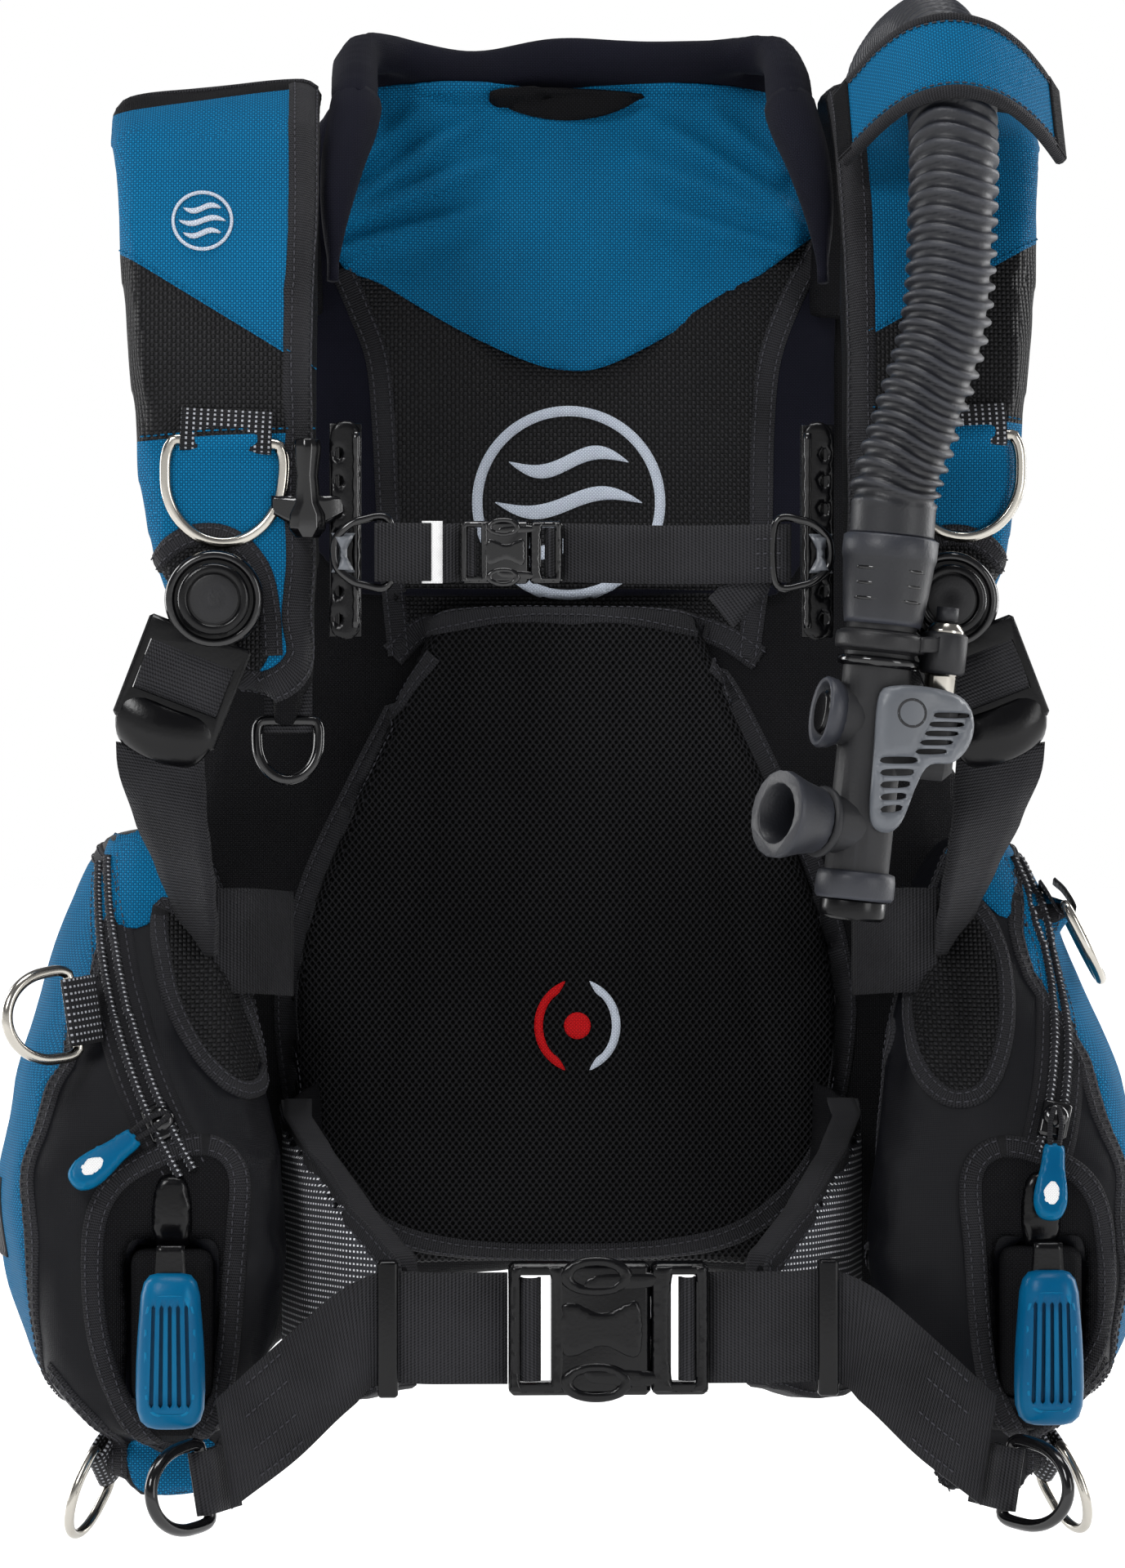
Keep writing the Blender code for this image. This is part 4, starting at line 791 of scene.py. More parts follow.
def make_hose():
    line = line_through(HOSE_POINTS, RIB_PITCH / 8)
    length = length_of(line)

    def radius(run, angle):
        if run < PLAIN_END or run > length - PLAIN_END:
            return BORE_R
        wave = 0.2 * math.cos(2 * angle + 0.6) + 0.1 * math.cos(3 * angle)
        phase = math.sin(2 * math.pi * (run / RIB_PITCH + wave))
        ridge = 0.5 + 0.5 * math.tanh(2.4 * (phase - 0.15))
        fade = min(1.0, (run - PLAIN_END) / RIB_FADE, (length - PLAIN_END - run) / RIB_FADE)
        return BORE_R + fade * (-0.0015 + 0.003 * ridge)

    hose = tube("hose_corrugated", line, radius, RUBBER, None, around=40, start=X)
    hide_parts("corrugated_hose")
    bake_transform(hose)
    tuple(HOSE_POINTS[0])
    [tuple(p) for p in line_through(HOSE_POINTS, 0.006)]


make_hose()

# --- the padded body -----------------------------------------------------------------------------


def pad_shape(co, normal):
    """The pad's sewn contour channels and its crown."""
    if normal.y < -0.2:
        t = (0.075 - co.z) / 0.29
        x = abs(co.x - 0.004)
        for base, spread in ((0.017, 0.03), (0.047, 0.058)):
            d = (x - base - spread * t) / 0.0045
            co.y += 0.0022 * math.exp(-d * d) * min(1.0, max(0.0, (0.9 - t) * 4), max(0.0, (t - 0.02) * 8))
        co.y -= 0.003 * math.exp(-(x / 0.08) ** 2)
    return co


def wrinkled(scale, depth, seed=0.0):
    """shape() that moves points along their normals by smooth noise."""
    def shape(co, normal):
        return co + normal * depth * noise.noise(co * scale + Vector((seed, seed, seed)))
    return shape


CELL_FOOT, CELL_ROUNDING = -0.268, 0.0145


def cell_shape(co, normal):
    """Soft waves over the air cell, with its two low corners drawn up into round ends."""
    co = wrinkled(16, 0.0035, 3.0)(co, normal)
    low = CELL_FOOT - co.z
    if low > 0:
        co.z = CELL_FOOT - CELL_ROUNDING * (1 - math.exp(-low / CELL_ROUNDING))
    return co


CELL = soft("air_cell", "shell", 0.005, NYLON, cap=0.006, turns=8, shape=cell_shape)


def collar_shape(co, normal):
    """The roll's dip and its high corners."""
    share = min(1.0, max(0.0, (co.z - 0.29) / 0.03))
    corner = math.exp(-((abs(co.x) - 0.096) / 0.02) ** 2)
    co.z += share * (0.005 * corner + 0.003 * math.exp(-((co.x - 0.004) / 0.03) ** 2)
        - 0.0045 * math.exp(-((co.x + 0.046) / 0.026) ** 2))
    return co + normal * 0.001 * noise.noise(co * 30)


PANEL = soft("back_panel", "shell", 0.004, NEOPRENE, pressure=2.0, cap=0.0015, turns=5,
    shape=collar_shape)
PAD = soft("back_pad", "cushion", 0.004, MESH, cap=0.004, shape=pad_shape)
LOBES, POCKETS, WINGS = {}, {}, {}
for side, sign in SIDES:
    LOBES[side] = soft(f"shoulder_lobe_{side}", "shell", 0.004, BLUE, cap=0.003, turns=8,
        shape=wrinkled(26, 0.0012, sign))
    POCKETS[side] = soft(f"side_pocket_{side}", "shell", 0.0045, COATED, cap=0.0055, turns=7,
        shape=wrinkled(22, 0.003, sign * 2.0))
    WINGS[side] = soft(f"hip_wing_{side}", "pad", 0.0035, NYLON, cap=0.0025, turns=5)
ON_BACK = Skin(CELL, PANEL, PAD)
ON_PANEL = Skin(PANEL, CELL)
ON_LOBE = {side: Skin(obj) for side, obj in LOBES.items()}
ON_POCKET = {side: Skin(obj) for side, obj in POCKETS.items()}
ON_WING = {side: Skin(obj) for side, obj in WINGS.items()}


def oval(x, z, half_x, half_z, count=28):
    turns = [2 * math.pi * k / count for k in range(count)]
    return [(x + half_x * math.cos(a), z + half_z * math.sin(a)) for a in turns]


def mirrored(sign, rows):
    """Rows of coordinates with the first one turned to a side of the vest."""
    return [(sign * x, *rest) for x, *rest in rows]


def wave_band(x, z, half, rise, thick):
    """A wavy stripe across a round emblem."""
    top, low = [], []
    for k in range(13):
        t = -1 + k / 6
        height = rise * math.sin(math.pi * t)
        top.append((x + half * t, z + height + thick * (1 - abs(t) ** 3) + 0.0002))
        low.append((x + half * t, z + height - thick * (1 - abs(t) ** 3) - 0.0002))
    return top + low[::-1]


def emblem(name, skin, x, z, radius, width, lift=0.0016):
    """A plain round badge in raised thread: a ring and three wavy stripes."""
    patch(f"{name}_ring", skin, oval(x, z, radius, radius), SILVER, lift=lift, thick=0.0008, step=width * 0.45,
        holes=[oval(x, z, radius - width, radius - width)])
    for k, (drop, half) in enumerate(((0.42, 0.62), (0.0, 0.76), (-0.42, 0.62))):
        patch(f"{name}_wave_{k}", skin, wave_band(x, z + drop * radius, half * radius, 0.1 * radius, 0.075 * radius),
            SILVER, lift=lift, thick=0.0008, step=0.0016)


YOKE_V = mm((-106, 244), (-84.3, 231.6), (-50, 211.5), (-19.5, 197.2), (0, 192.5), (18.7, 194.6), (49.3, 210),
    (87.5, 234.9), (127, 267))
HARNESS_EDGE = {
    "right": mm((-104.1, 239.7), (-95.7, 220.7), (-87.4, 197.9), (-84.3, 167.4), (-82.4, 129.4), (-80.5, 98.9),
        (-76.7, 60)),
    "left": mm((121, 255.8), (105, 226), (95, 198.4), (91.9, 167.9), (91.1, 129.7), (90.4, 99.2), (85.4, 58)),
}
ARCH = mm((-80.5, 60), (-65.3, 73.1), (-34.8, 79.2), (-0.5, 80.8), (41.4, 77.8), (72, 70.2), (91.1, 58.5))


def yoke_folds(x, z):
    """Soft folds that run from the collar's corners down into the yoke."""
    height = 0.0
    for sign in (-1, 1):
        for start, end, depth, wide in (((0.104, 0.268), (0.034, 0.314), 0.0125, 0.0046),
                ((0.106, 0.26), (0.028, 0.292), 0.0135, 0.0048), ((0.106, 0.248), (0.03, 0.268), 0.011, 0.005),
                ((0.1, 0.286), (0.064, 0.316), 0.01, 0.0044)):
            depth *= 1.0 if sign < 0 else 0.7
            a, b = Vector((sign * start[0], start[1])), Vector((sign * end[0], end[1]))
            p = Vector((x, z))
            t = max(0.0, min(1.0, (p - a).dot(b - a) / (b - a).length_squared))
            d = (p - a.lerp(b, t)).length / wide
            height += depth * math.exp(-d * d) * (1 - t) ** 0.55
    height += 0.0028 * noise.noise(Vector((x * 24, 5.0, z * 24)))
    height += 0.0035 * math.exp(-((x / 0.05) ** 2 + ((z - 0.265) / 0.05) ** 2))
    return height


def dress_back():
    top = mm((127, 294), (115, 312.5), (94, 322.5), (60, 326), (0, 324.5), (-60, 326), (-94, 322.5), (-110, 312.5),
        (-112, 289))
    patch("yoke_panel", ON_PANEL, YOKE_V + top, BLUE, "blue_cloth", lift=0.0016, puff=yoke_folds, step=0.0035,
        smooth=True, depth=0.0, reach=0.094)
    low = [(x, z + 0.003) for x, z in YOKE_V]
    left, right = (list(HARNESS_EDGE[side]) for side in ("left", "right"))
    patch("lower_back_panel", ON_PANEL, low + left + [(x, z - 0.004) for x, z in ARCH[::-1]] + right[::-1], BALLISTIC,
        lift=0.0009, step=0.005, smooth=False)
    for side, _ in SIDES:
        tape(f"harness_edge_{side}", ON_BACK, HARNESS_EDGE[side], 0.0115, rows=2)
    tape("pad_arch_tape", ON_BACK, ARCH, 0.0125)
    emblem("back_emblem", ON_PANEL, 0.0015, 0.131, 0.045, 0.0048)
    patch("neck_tab", ON_PANEL, mm((-36, 324), (-24, 313), (0, 308.5), (24, 313), (36, 324), (0, 327)), NYLON,
        lift=0.0062, step=0.003)
    pad_edge = mm((-62, 60), (-77, 38), (-98, -2), (-118, -45), (-130, -91), (-129, -129), (-120, -166), (-98, -196),
        (-65, -213), (0, -218), (65, -213), (98, -196), (120, -166), (130, -129), (131, -91), (119, -45), (100, -2),
        (80, 38), (68, 56))
    tape("pad_edge_tape", Skin(PAD, CELL), pad_edge, 0.01)
    on_pad = Skin(PAD)
    for name, thread, turn in (("light", SILVER, 0), ("red", RED, math.pi)):
        outer = [(0.02 * math.cos(a + turn), 0.0215 * math.sin(a + turn))
            for a in (math.radians(-74 + 148 * k / 16) for k in range(17))]
        inner = [(0.0035 * math.cos(turn) + 0.0125 * math.cos(a + turn), 0.0165 * math.sin(a + turn))
            for a in (math.radians(66 - 132 * k / 12) for k in range(13))]
        patch(f"pad_emblem_{name}", on_pad, [(0.005 + x, -0.112 + z) for x, z in outer + inner], thread, "mesh_cloth",
            lift=0.0012, thick=0.0009, step=0.0016)
    patch("pad_emblem_dot", on_pad, oval(0.005, -0.112, 0.0062, 0.0062, 18), RED, "mesh_cloth", lift=0.0012,
        thick=0.0009, step=0.0014)


dress_back()

# --- shoulders -----------------------------------------------------------------------------------

LOBE_BACK_Y, LOBE_TOP_Z, LOBE_TOP_X, LOBE_SLOPE = -0.139, 0.299, 0.205, 0.15
LOBE_TIP_Z, LOBE_FOOT_Z, LOBE_FOOT_X = 0.045, 0.065, 0.1215
# The ends of the two seams between the colours, as (x, z).
LOBE_SEAMS = {
    "right": (((-0.2018, 0.2322), (-0.1139, 0.1782)), ((-0.195, 0.1494), (-0.111, 0.1539))),
    "left": (((0.2096, 0.2429), (0.1187, 0.1922)), ((0.2024, 0.1576), (0.1205, 0.1635))),
}
LOBE_TAPE_HEIGHTS = (0.313, 0.288, 0.25, 0.21, 0.17, 0.13, 0.098, 0.074)
LOBE_TAPE_FOOT = mm((121.5, 56), (130, 45), (142, 42.5), (151, 50))


def inner_edge(obj, height):
    """How near the middle the piece comes at a height."""
    places, normals = points_of(obj.data)
    near = (abs(places[:, 2] - height) < 0.007) & (normals[:, 1] < -0.15)
    return float(abs(places[near, 0]).min())


def dress_lobe(side, sign):
    lobe, skin = LOBES[side], ON_LOBE[side]
    lines = []
    for (x1, z1), (x2, z2) in LOBE_SEAMS[side]:
        normal = Vector((z2 - z1, 0, x1 - x2)).normalized()
        lines.append((Vector((x1, 0, z1)), normal if normal.z > 0 else -normal))
    top = (Y * LOBE_BACK_Y, Y)
    slope = (Vector((sign * LOBE_TOP_X, 0, LOBE_TOP_Z)), Vector((sign * LOBE_SLOPE, 0, 1)).normalized())
    foot = [(Z * LOBE_TIP_Z, Z), (Z * LOBE_FOOT_Z, Z), (X * sign * LOBE_FOOT_X, X)]
    cut(lobe, [*lines, top, slope, *foot])

    def choose(c, normal):
        tip = c.z < LOBE_TIP_Z or (c.z < LOBE_FOOT_Z and abs(c.x) < LOBE_FOOT_X)
        crest = c.z > LOBE_TOP_Z + LOBE_SLOPE * (LOBE_TOP_X - abs(c.x))
        if c.y > LOBE_BACK_Y or tip or crest or normal.x * sign < -0.5:
            return 2
        above_upper = (c - lines[0][0]).dot(lines[0][1]) > 0
        above_lower = (c - lines[1][0]).dot(lines[1][1]) > 0
        return 1 if above_lower and not above_upper else 0
    paint(lobe, [BALLISTIC, NYLON], choose)
    edge = [(inner_edge(lobe, z) + 0.0066, z) for z in LOBE_TAPE_HEIGHTS]
    bend = mirrored(sign, (*edge, *LOBE_TAPE_FOOT))
    tape(f"lobe_tape_{side}", skin, bend, 0.015)
    for (x1, z1), (x2, z2) in LOBE_SEAMS[side]:
        line, normals = laid(skin, [(x1, z1 + 0.002), (x2, z2 + 0.002)], lift=0.0003)
        stitch_row("harness", line, normals, material="blue")
    over = [Vector((sign * x, LOBE_BACK_Y, 0.3)) for x in (0.205, 0.19, 0.16, 0.13, 0.113)]
    tape(f"lobe_top_seam_{side}", skin, over, 0.0075, way=-Z, rows=0)
    tab = mirrored(sign, mm((135, 62), (137.5, 88), (148, 103.5), (162, 107.5), (178, 102), (186, 88), (183, 70),
        (172, 56), (155, 46), (142, 48)))
    patch(f"buckle_tab_{side}", skin, tab, BALLISTIC, lift=0.0012, step=0.004)
    arch = mirrored(sign, mm((135, 56), (136.2, 76), (140, 93), (150, 105), (162, 109), (175, 106), (185, 96),
        (188.5, 82)))
    tape(f"buckle_arch_{side}", skin, arch, 0.0095, thick=0.0018)


for side, sign in SIDES:
    dress_lobe(side, sign)
    run = line_through(mirrored(sign, mm((98, -144, 305), (99.5, -158, 295), (104, -176, 276), (107.5, -190, 250),
        (108.5, -196, 222))), 0.004)
    tube(f"collar_tail_{side}", run, lambda along, angle: 0.0118 * max(0.22, 1 - (along / 0.105) ** 2), NEOPRENE,
        "harness", around=16)
emblem("shoulder_emblem", ON_LOBE["right"], -0.1655, 0.2463, 0.0135, 0.0014, lift=0.0012)

# --- rings and their webbing loops ---------------------------------------------------------------

# In millimetres (bar's half length, depth, rod's radius), bar's centre; directions of the bar and of the bow; and in
# millimetres the way into the host.
RINGS = {
    "shoulder_ring_right": ((25.5, 44, 2.6), (-155, -228.7, 149), (1, 0, -0.05), (0, 0, -1), (0, 10, 0)),
    "shoulder_ring_left": ((25.5, 44, 2.6), (166, -228.7, 152), (1, 0, 0.05), (0, 0, -1), (0, 10, 0)),
    "chest_ring_right": ((13.5, 26, 2.4), (-128, -217, 27.5), (1, 0, 0), (0, -0.15, -1), (0, 2, 19)),
    "chest_ring_left": ((13.5, 26, 2.4), (128, -217, 27.5), (1, 0, 0), (0, -0.15, -1), (0, 2, 19)),
    "pocket_ring_right": ((19, 36, 2.5), (-222, -206, -100), (0.14, 0, -0.99), (-0.62, -0.55, -0.45), (0, 22, 0)),
    "pocket_ring_left": ((19, 36, 2.5), (222, -150, -56), (0.12, 1, -0.1), (0.5, 0, -1), (-20, 0, -4)),
    "hem_ring_right": ((16.5, 34, 2.2), (-209.5, -195, -300), (-0.18, -0.8, 0.55), (-0.35, -0.2, -1), (20, 0, 4)),
    "hem_ring_left": ((16.5, 34, 2.2), (209.5, -195, -300), (0.18, -0.8, 0.55), (0.35, -0.2, -1), (-20, 0, 4)),
    "belt_ring_right": ((17.5, 40, 2.8), (-163.5, -252.5, -301), (0.15, 0, -0.99), (-0.5, -0.8, -0.3), (14, 1, 4)),
    "belt_ring_left": ((17.5, 40, 2.8), (183.5, -252.5, -301), (-0.15, 0, -0.99), (0.5, -0.8, -0.3), (-14, 1, 4)),
}


def ring_outline(half, depth):
    """A D: its bar on the first axis and its bow down, centred on the bar."""
    corner, side_end = 0.28 * half, -0.35 * depth
    bow = depth + side_end
    points = [(-half + corner, 0.0), (half - corner, 0.0), (half - 0.25 * corner, -0.3 * corner),
        (half, -1.1 * corner), (half, side_end)]
    points += [(half * math.cos(math.pi * k / 12), side_end - bow * math.sin(math.pi * k / 12)) for k in range(1, 12)]
    return points + [(-half, side_end), (-half, -1.1 * corner), (-half + 0.25 * corner, -0.3 * corner)]


def strap(name, centres, widths, thick, material, body="harness", replaces=(), step=0.004):
    """A flat strap through stations: centre and half width vectors, both smoothed; closed, with UVs in metres."""
    centres = [Vector(c) for c in centres]
    line = line_through(centres, step)
    # Widths are carried by each station's share of the way.
    marks, run = [0.0], 0.0
    for p, q in zip(centres, centres[1:]):
        run += (q - p).length
        marks.append(run)
    total = length_of(line)
    section = ((-1, -0.5), (-1, 0.5), (-0.6, 0.5), (0, 0.5), (0.6, 0.5), (1, 0.5), (1, -0.5), (0.6, -0.5), (0, -0.5),
        (-0.6, -0.5))
    points, uvs, run, rows = [], [], 0.0, []
    ways = directions(line)
    for i, (p, way) in enumerate(zip(line, ways)):
        run += (p - line[i - 1]).length if i else 0
        here = run / max(total, 1e-9) * marks[-1]
        k = max(j for j in range(len(marks) - 1) if marks[j] <= here + 1e-9)
        t = min(1.0, (here - marks[k]) / max(marks[k + 1] - marks[k], 1e-9))
        t = t * t * (3 - 2 * t)
        width = Vector(widths[k]).lerp(Vector(widths[k + 1]), t)
        out = way.cross(width).normalized()
        rows.append((p, width, out))
        for a, b in section:
            points.append(p + width * a + out * b * thick)
            uvs.append((run, a * width.length))
    obj = add(name, points, ring_faces(len(line), len(section)), material, body, uvs)
    if replaces:
        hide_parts(*replaces)
    return obj, rows


def strap_stitches(rows, inset=0.9, out=1):
    for share in (-inset, inset):
        line = [p + w * share + n * out * 0.0013 for p, w, n in rows]
        stitch_row("harness", line, [n * out for _, _, n in rows])


def make_ring(name):
    size, at, bar, bow, into = RINGS[name]
    (half, depth, rod), at, into = mm(size, at, into)
    at, bar, bow, into = Vector(at), Vector(bar).normalized(), Vector(bow), Vector(into)
    bow = (bow - bar * bow.dot(bar)).normalized()
    line = line_through([at + bar * a - bow * b for a, b in ring_outline(half, depth)], 0.0016, True)
    plain = name.startswith(("chest", "belt"))
    ring = tube(f"{name}_rod", line, rod, GLOSS if plain else STEEL, BODY_OF[name],
        around=14, closed=True)
    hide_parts(name)
    into = (into - bar * into.dot(bar)).normalized()
    far = rod + 0.0016
    back = -bow
    path = [at + back * 0.0135 - into * 0.001, at + back * 0.008 - into * far * 0.8, at - into * far,
        at + bow * far * 0.75 - into * far * 0.7, at + bow * far, at + bow * far * 0.7 + into * far * 0.7,
        at + into * far, at + back * 0.008 + into * far * 1.1, at + back * 0.014 + into * far * 1.3]
    wide = bar * (half * 0.78)
    strap(f"{name}_loop", path, [wide] * len(path), 0.0012, WEBBING if plain else REFLECT, step=0.0016)


for name in RINGS:
    make_ring(name)

# --- hard pieces of the frame --------------------------------------------------------------------


def smoothing_group():
    """A modifier's node group: smooth shading, with edges sharper than 38 degrees kept crisp."""
    group = bpy.data.node_groups.new("smooth by angle", "GeometryNodeTree")
    group.interface.new_socket("Geometry", in_out="INPUT", socket_type="NodeSocketGeometry")
    group.interface.new_socket("Geometry", in_out="OUTPUT", socket_type="NodeSocketGeometry")
    new, link = group.nodes.new, group.links.new
    start, end = new("NodeGroupInput"), new("NodeGroupOutput")
    faces, edges = new("GeometryNodeSetShadeSmooth"), new("GeometryNodeSetShadeSmooth")
    faces.domain, edges.domain = "FACE", "EDGE"
    faces.inputs["Shade Smooth"].default_value, edges.inputs["Shade Smooth"].default_value = True, False
    angle, sharp = new("GeometryNodeInputMeshEdgeAngle"), new("FunctionNodeCompare")
    sharp.operation = "GREATER_THAN"
    sharp.inputs[1].default_value = math.radians(38)
    clean = new("GeometryNodeRemoveAttribute")
    clean.inputs["Name"].default_value = "custom_normal"
    link(start.outputs[0], clean.inputs["Geometry"])
    link(clean.outputs[0], faces.inputs["Geometry"])
    link(faces.outputs[0], edges.inputs["Geometry"])
    link(angle.outputs["Unsigned Angle"], sharp.inputs[0])
    link(sharp.outputs[0], edges.inputs["Selection"])
    link(edges.outputs[0], end.inputs[0])
    return group


SMOOTHING = smoothing_group()


def keep(node, material, slot, bevel):
    """Gives a CAD node its finish, softened edges and smooth shading."""
    obj = NODES[node]
    obj.data.materials.clear()
    obj.data.materials.append(material)
    weld = obj.modifiers.new("weld", "WELD")
    weld.merge_threshold = 0.00001
    flat = obj.modifiers.new("flat", "DECIMATE")
    flat.decimate_type, flat.angle_limit = "DISSOLVE", math.radians(1.5)
    soften = obj.modifiers.new("soften", "BEVEL")
    soften.width, soften.segments, soften.limit_method = bevel, 2, "ANGLE"
    soften.angle_limit = math.radians(30)
    soften.use_clamp_overlap = True
    smooth = obj.modifiers.new("smooth", "NODES")
    smooth.node_group = SMOOTHING


# A finish, its slot, and the width of the bevel on each CAD node that has it, in millimetres.
HARD = (
    (MATT, "black_plastic", {"backpack": 1.2, "dump_valve": 0.8}),
    (SATIN, "black_plastic", {"cam_buckle": 0.8, "waist_socket": 1, "waist_plug": 0.9, "inflate_button": 0.6,
                              "exhaust_button": 0.6, "hose_elbow": 0.8}),
    (SATIN, "gloss_plastic", {"cam_lever": 1}),
    (NYLON, "webbing", {"grab_handle": 0.8}),
    (GLOSS, "gloss_plastic", {"sternum_socket": 0.6, "sternum_plug": 0.6, "dump_toggle": 0.6}),
    (DARK_RUBBER, "black_plastic", {"inflator_body": 0.8}),
    (RUBBER, "rubber", {"mouthpiece": 0.6}),
    (STEEL, "steel", {"hose_coupling": 0.3}),
)
PAIRED = (
    (SATIN, "black_plastic", {"swivel_base": 0.6, "ladder_lock": 0.8, "sternum_rail": 0.6, "belt_slider": 0.6}),
    (GLOSS, "black_plastic", {"zip_slider": 0.4}),
)
for material, slot, bevels in HARD:
    for node, bevel in bevels.items():
        keep(node, material, slot, bevel / 1000)
for side, _ in SIDES:
    for material, slot, bevels in PAIRED:
        for node, bevel in bevels.items():
            keep(f"{node}_{side}", material, slot, bevel / 1000)

# --- waist belt ----------------------------------------------------------------------------------

BELT_X, BELT_Y, BELT_Z = 0.01, -0.2585, -0.2345
WEB_THICK = 0.0024


def make_belt(side, sign, start):
    rows = ((start, 0.0, 0.0, 0.0), (0.075, 0.0, 0.0, 0.0), (0.099, 0.0, 0.0, 0.0), (0.115, -0.001, -0.01, 0.2),
        (0.14, 0.002, -0.033, 0.26), (0.1655, 0.007, -0.0545, 0.15))
    centres = [(BELT_X + sign * x, BELT_Y + y, BELT_Z + z) for x, y, z, _ in rows]
    widths = [Vector((sign * lean, 0, 1)).normalized() * 0.024 for *_, lean in rows]
    moves = side == "left"
    belt, lines = strap(f"waist_belt_{side}", centres, widths, WEB_THICK, WEBBING, None if moves else "harness",
        replaces=[f"waist_strap_{side}"])
    if moves:
        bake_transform(belt)
    out = 1 if lines[0][2].y < 0 else -1
    end = len(lines) - 4
    for share in (-0.25, 0.25):
        strap_stitches([(p + w * share, w * 0.62, n) for p, w, n in lines[end - 7:end]], out=out)


make_belt("right", -1, 0.0434)
make_belt("left", 1, 0.0434)


def buckle_face(prefix, body_socket, body_plug, socket, plug, y, z, half_z, scale, material):
    """The raised centre, oval finger tabs and webbing of a side-release buckle."""
    x0, x1 = socket
    centre = x0 + (x1 - x0) * 0.66
    wide = (x1 - x0) * 0.3
    middle = [(centre - wide, z - 0.3 * half_z), (centre - wide * 0.7, z - 0.42 * half_z),
        (centre, z - 0.26 * half_z), (centre + wide * 0.8, z - 0.44 * half_z), (centre + wide * 0.95, z),
        (centre + wide * 0.8, z + 0.44 * half_z), (centre, z + 0.26 * half_z),
        (centre - wide * 0.7, z + 0.42 * half_z), (centre - wide, z + 0.3 * half_z)]
    sheet_piece(f"{prefix}_socket_rib", middle, facing(0, y - 0.0006 * scale, 0), material, body_socket,
        thick=0.0012 * scale, step=0.0022 * scale)
    for end in (-1, 1):
        cx, cz = centre - wide * 0.15, z + end * half_z * 0.8
        rim = oval(cx, cz, 0.42 * (x1 - x0) * 0.62, half_z * 0.3, 20)
        hole = oval(cx, cz, 0.26 * (x1 - x0) * 0.62, half_z * 0.15, 16)
        name = "top" if end > 0 else "low"
        sheet_piece(f"{prefix}_tab_rim_{name}", rim, facing(0, y - 0.0009 * scale, 0), material, body_socket,
            thick=0.0016 * scale, step=0.002 * scale, holes=[hole])
        arm = [(x1 - (x1 - x0) * 0.45, cz - end * half_z * 0.22), (x1 + 0.001, cz - end * half_z * 0.16),
            (x1 + 0.001, cz + end * half_z * 0.05), (x1 - (x1 - x0) * 0.4, cz + end * half_z * 0.03)]
        sheet_piece(f"{prefix}_arm_rib_{name}", arm, facing(0, y - 0.0004 * scale, 0), material, body_socket,
            thick=0.001 * scale, step=0.002 * scale)
    p0, p1 = plug
    slot = (x1 - x0) * 0.3
    depth = p1 - p0
    for name, low, high, hole_low, hole_high, body in (("socket", x0 + 0.0008, x0 + slot * 1.3, x0 + slot * 0.27,
            x0 + slot * 0.98, body_socket), ("plug", p0 + 0.0004, p1 - 0.0006, p0 + depth * 0.36, p1 - depth * 0.23,
            body_plug)):
        tall, gap = half_z * 0.95, half_z * 0.8
        frame = [(low, z - tall), (high, z - tall), (high, z + tall), (low, z + tall)]
        hole = [(hole_low, z - gap), (hole_high, z - gap), (hole_high, z + gap), (hole_low, z + gap)]
        sheet_piece(f"{prefix}_{name}_frame", frame, facing(0, y - 0.0006 * scale, 0), material, body,
            thick=0.0014 * scale, step=0.0022 * scale, holes=[hole], smooth=False)
        # The webbing turns round a bar in the slot.
        middle, reach = (hole_low + hole_high) / 2, (hole_high - hole_low) * (0.32 if name == "socket" else -0.32)
        middle -= reach * 0.55
        turn = [(middle + reach * share, y + back, z) for share, back in ((-1, 0.006), (-0.8, 0.002), (0, -0.0002),
            (0.8, 0.002), (1, 0.006))]
        strap(f"{prefix}_{name}_turn", turn, [Z * half_z * 0.78] * 5, 0.0014, WEBBING, body, step=0.0012)


buckle_face("waist", BODY_OF["waist_socket"], BODY_OF["waist_plug"], (-0.033, 0.028), (0.0284, 0.053),
    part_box("waist_socket")[0].y, BELT_Z, (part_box("waist_socket")[1].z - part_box("waist_socket")[0].z) / 2, 1.0, SATIN)
buckle_face("sternum", BODY_OF["sternum_socket"], BODY_OF["sternum_plug"], (-0.053, -0.0235), (-0.0231, -0.009),
    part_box("sternum_socket")[0].y, 0.1005, 0.0135, 0.6, GLOSS)

# --- chest strap ---------------------------------------------------------------------------------

CHEST_Y, CHEST_Z, RAIL_X = -0.241, 0.1005, 0.103


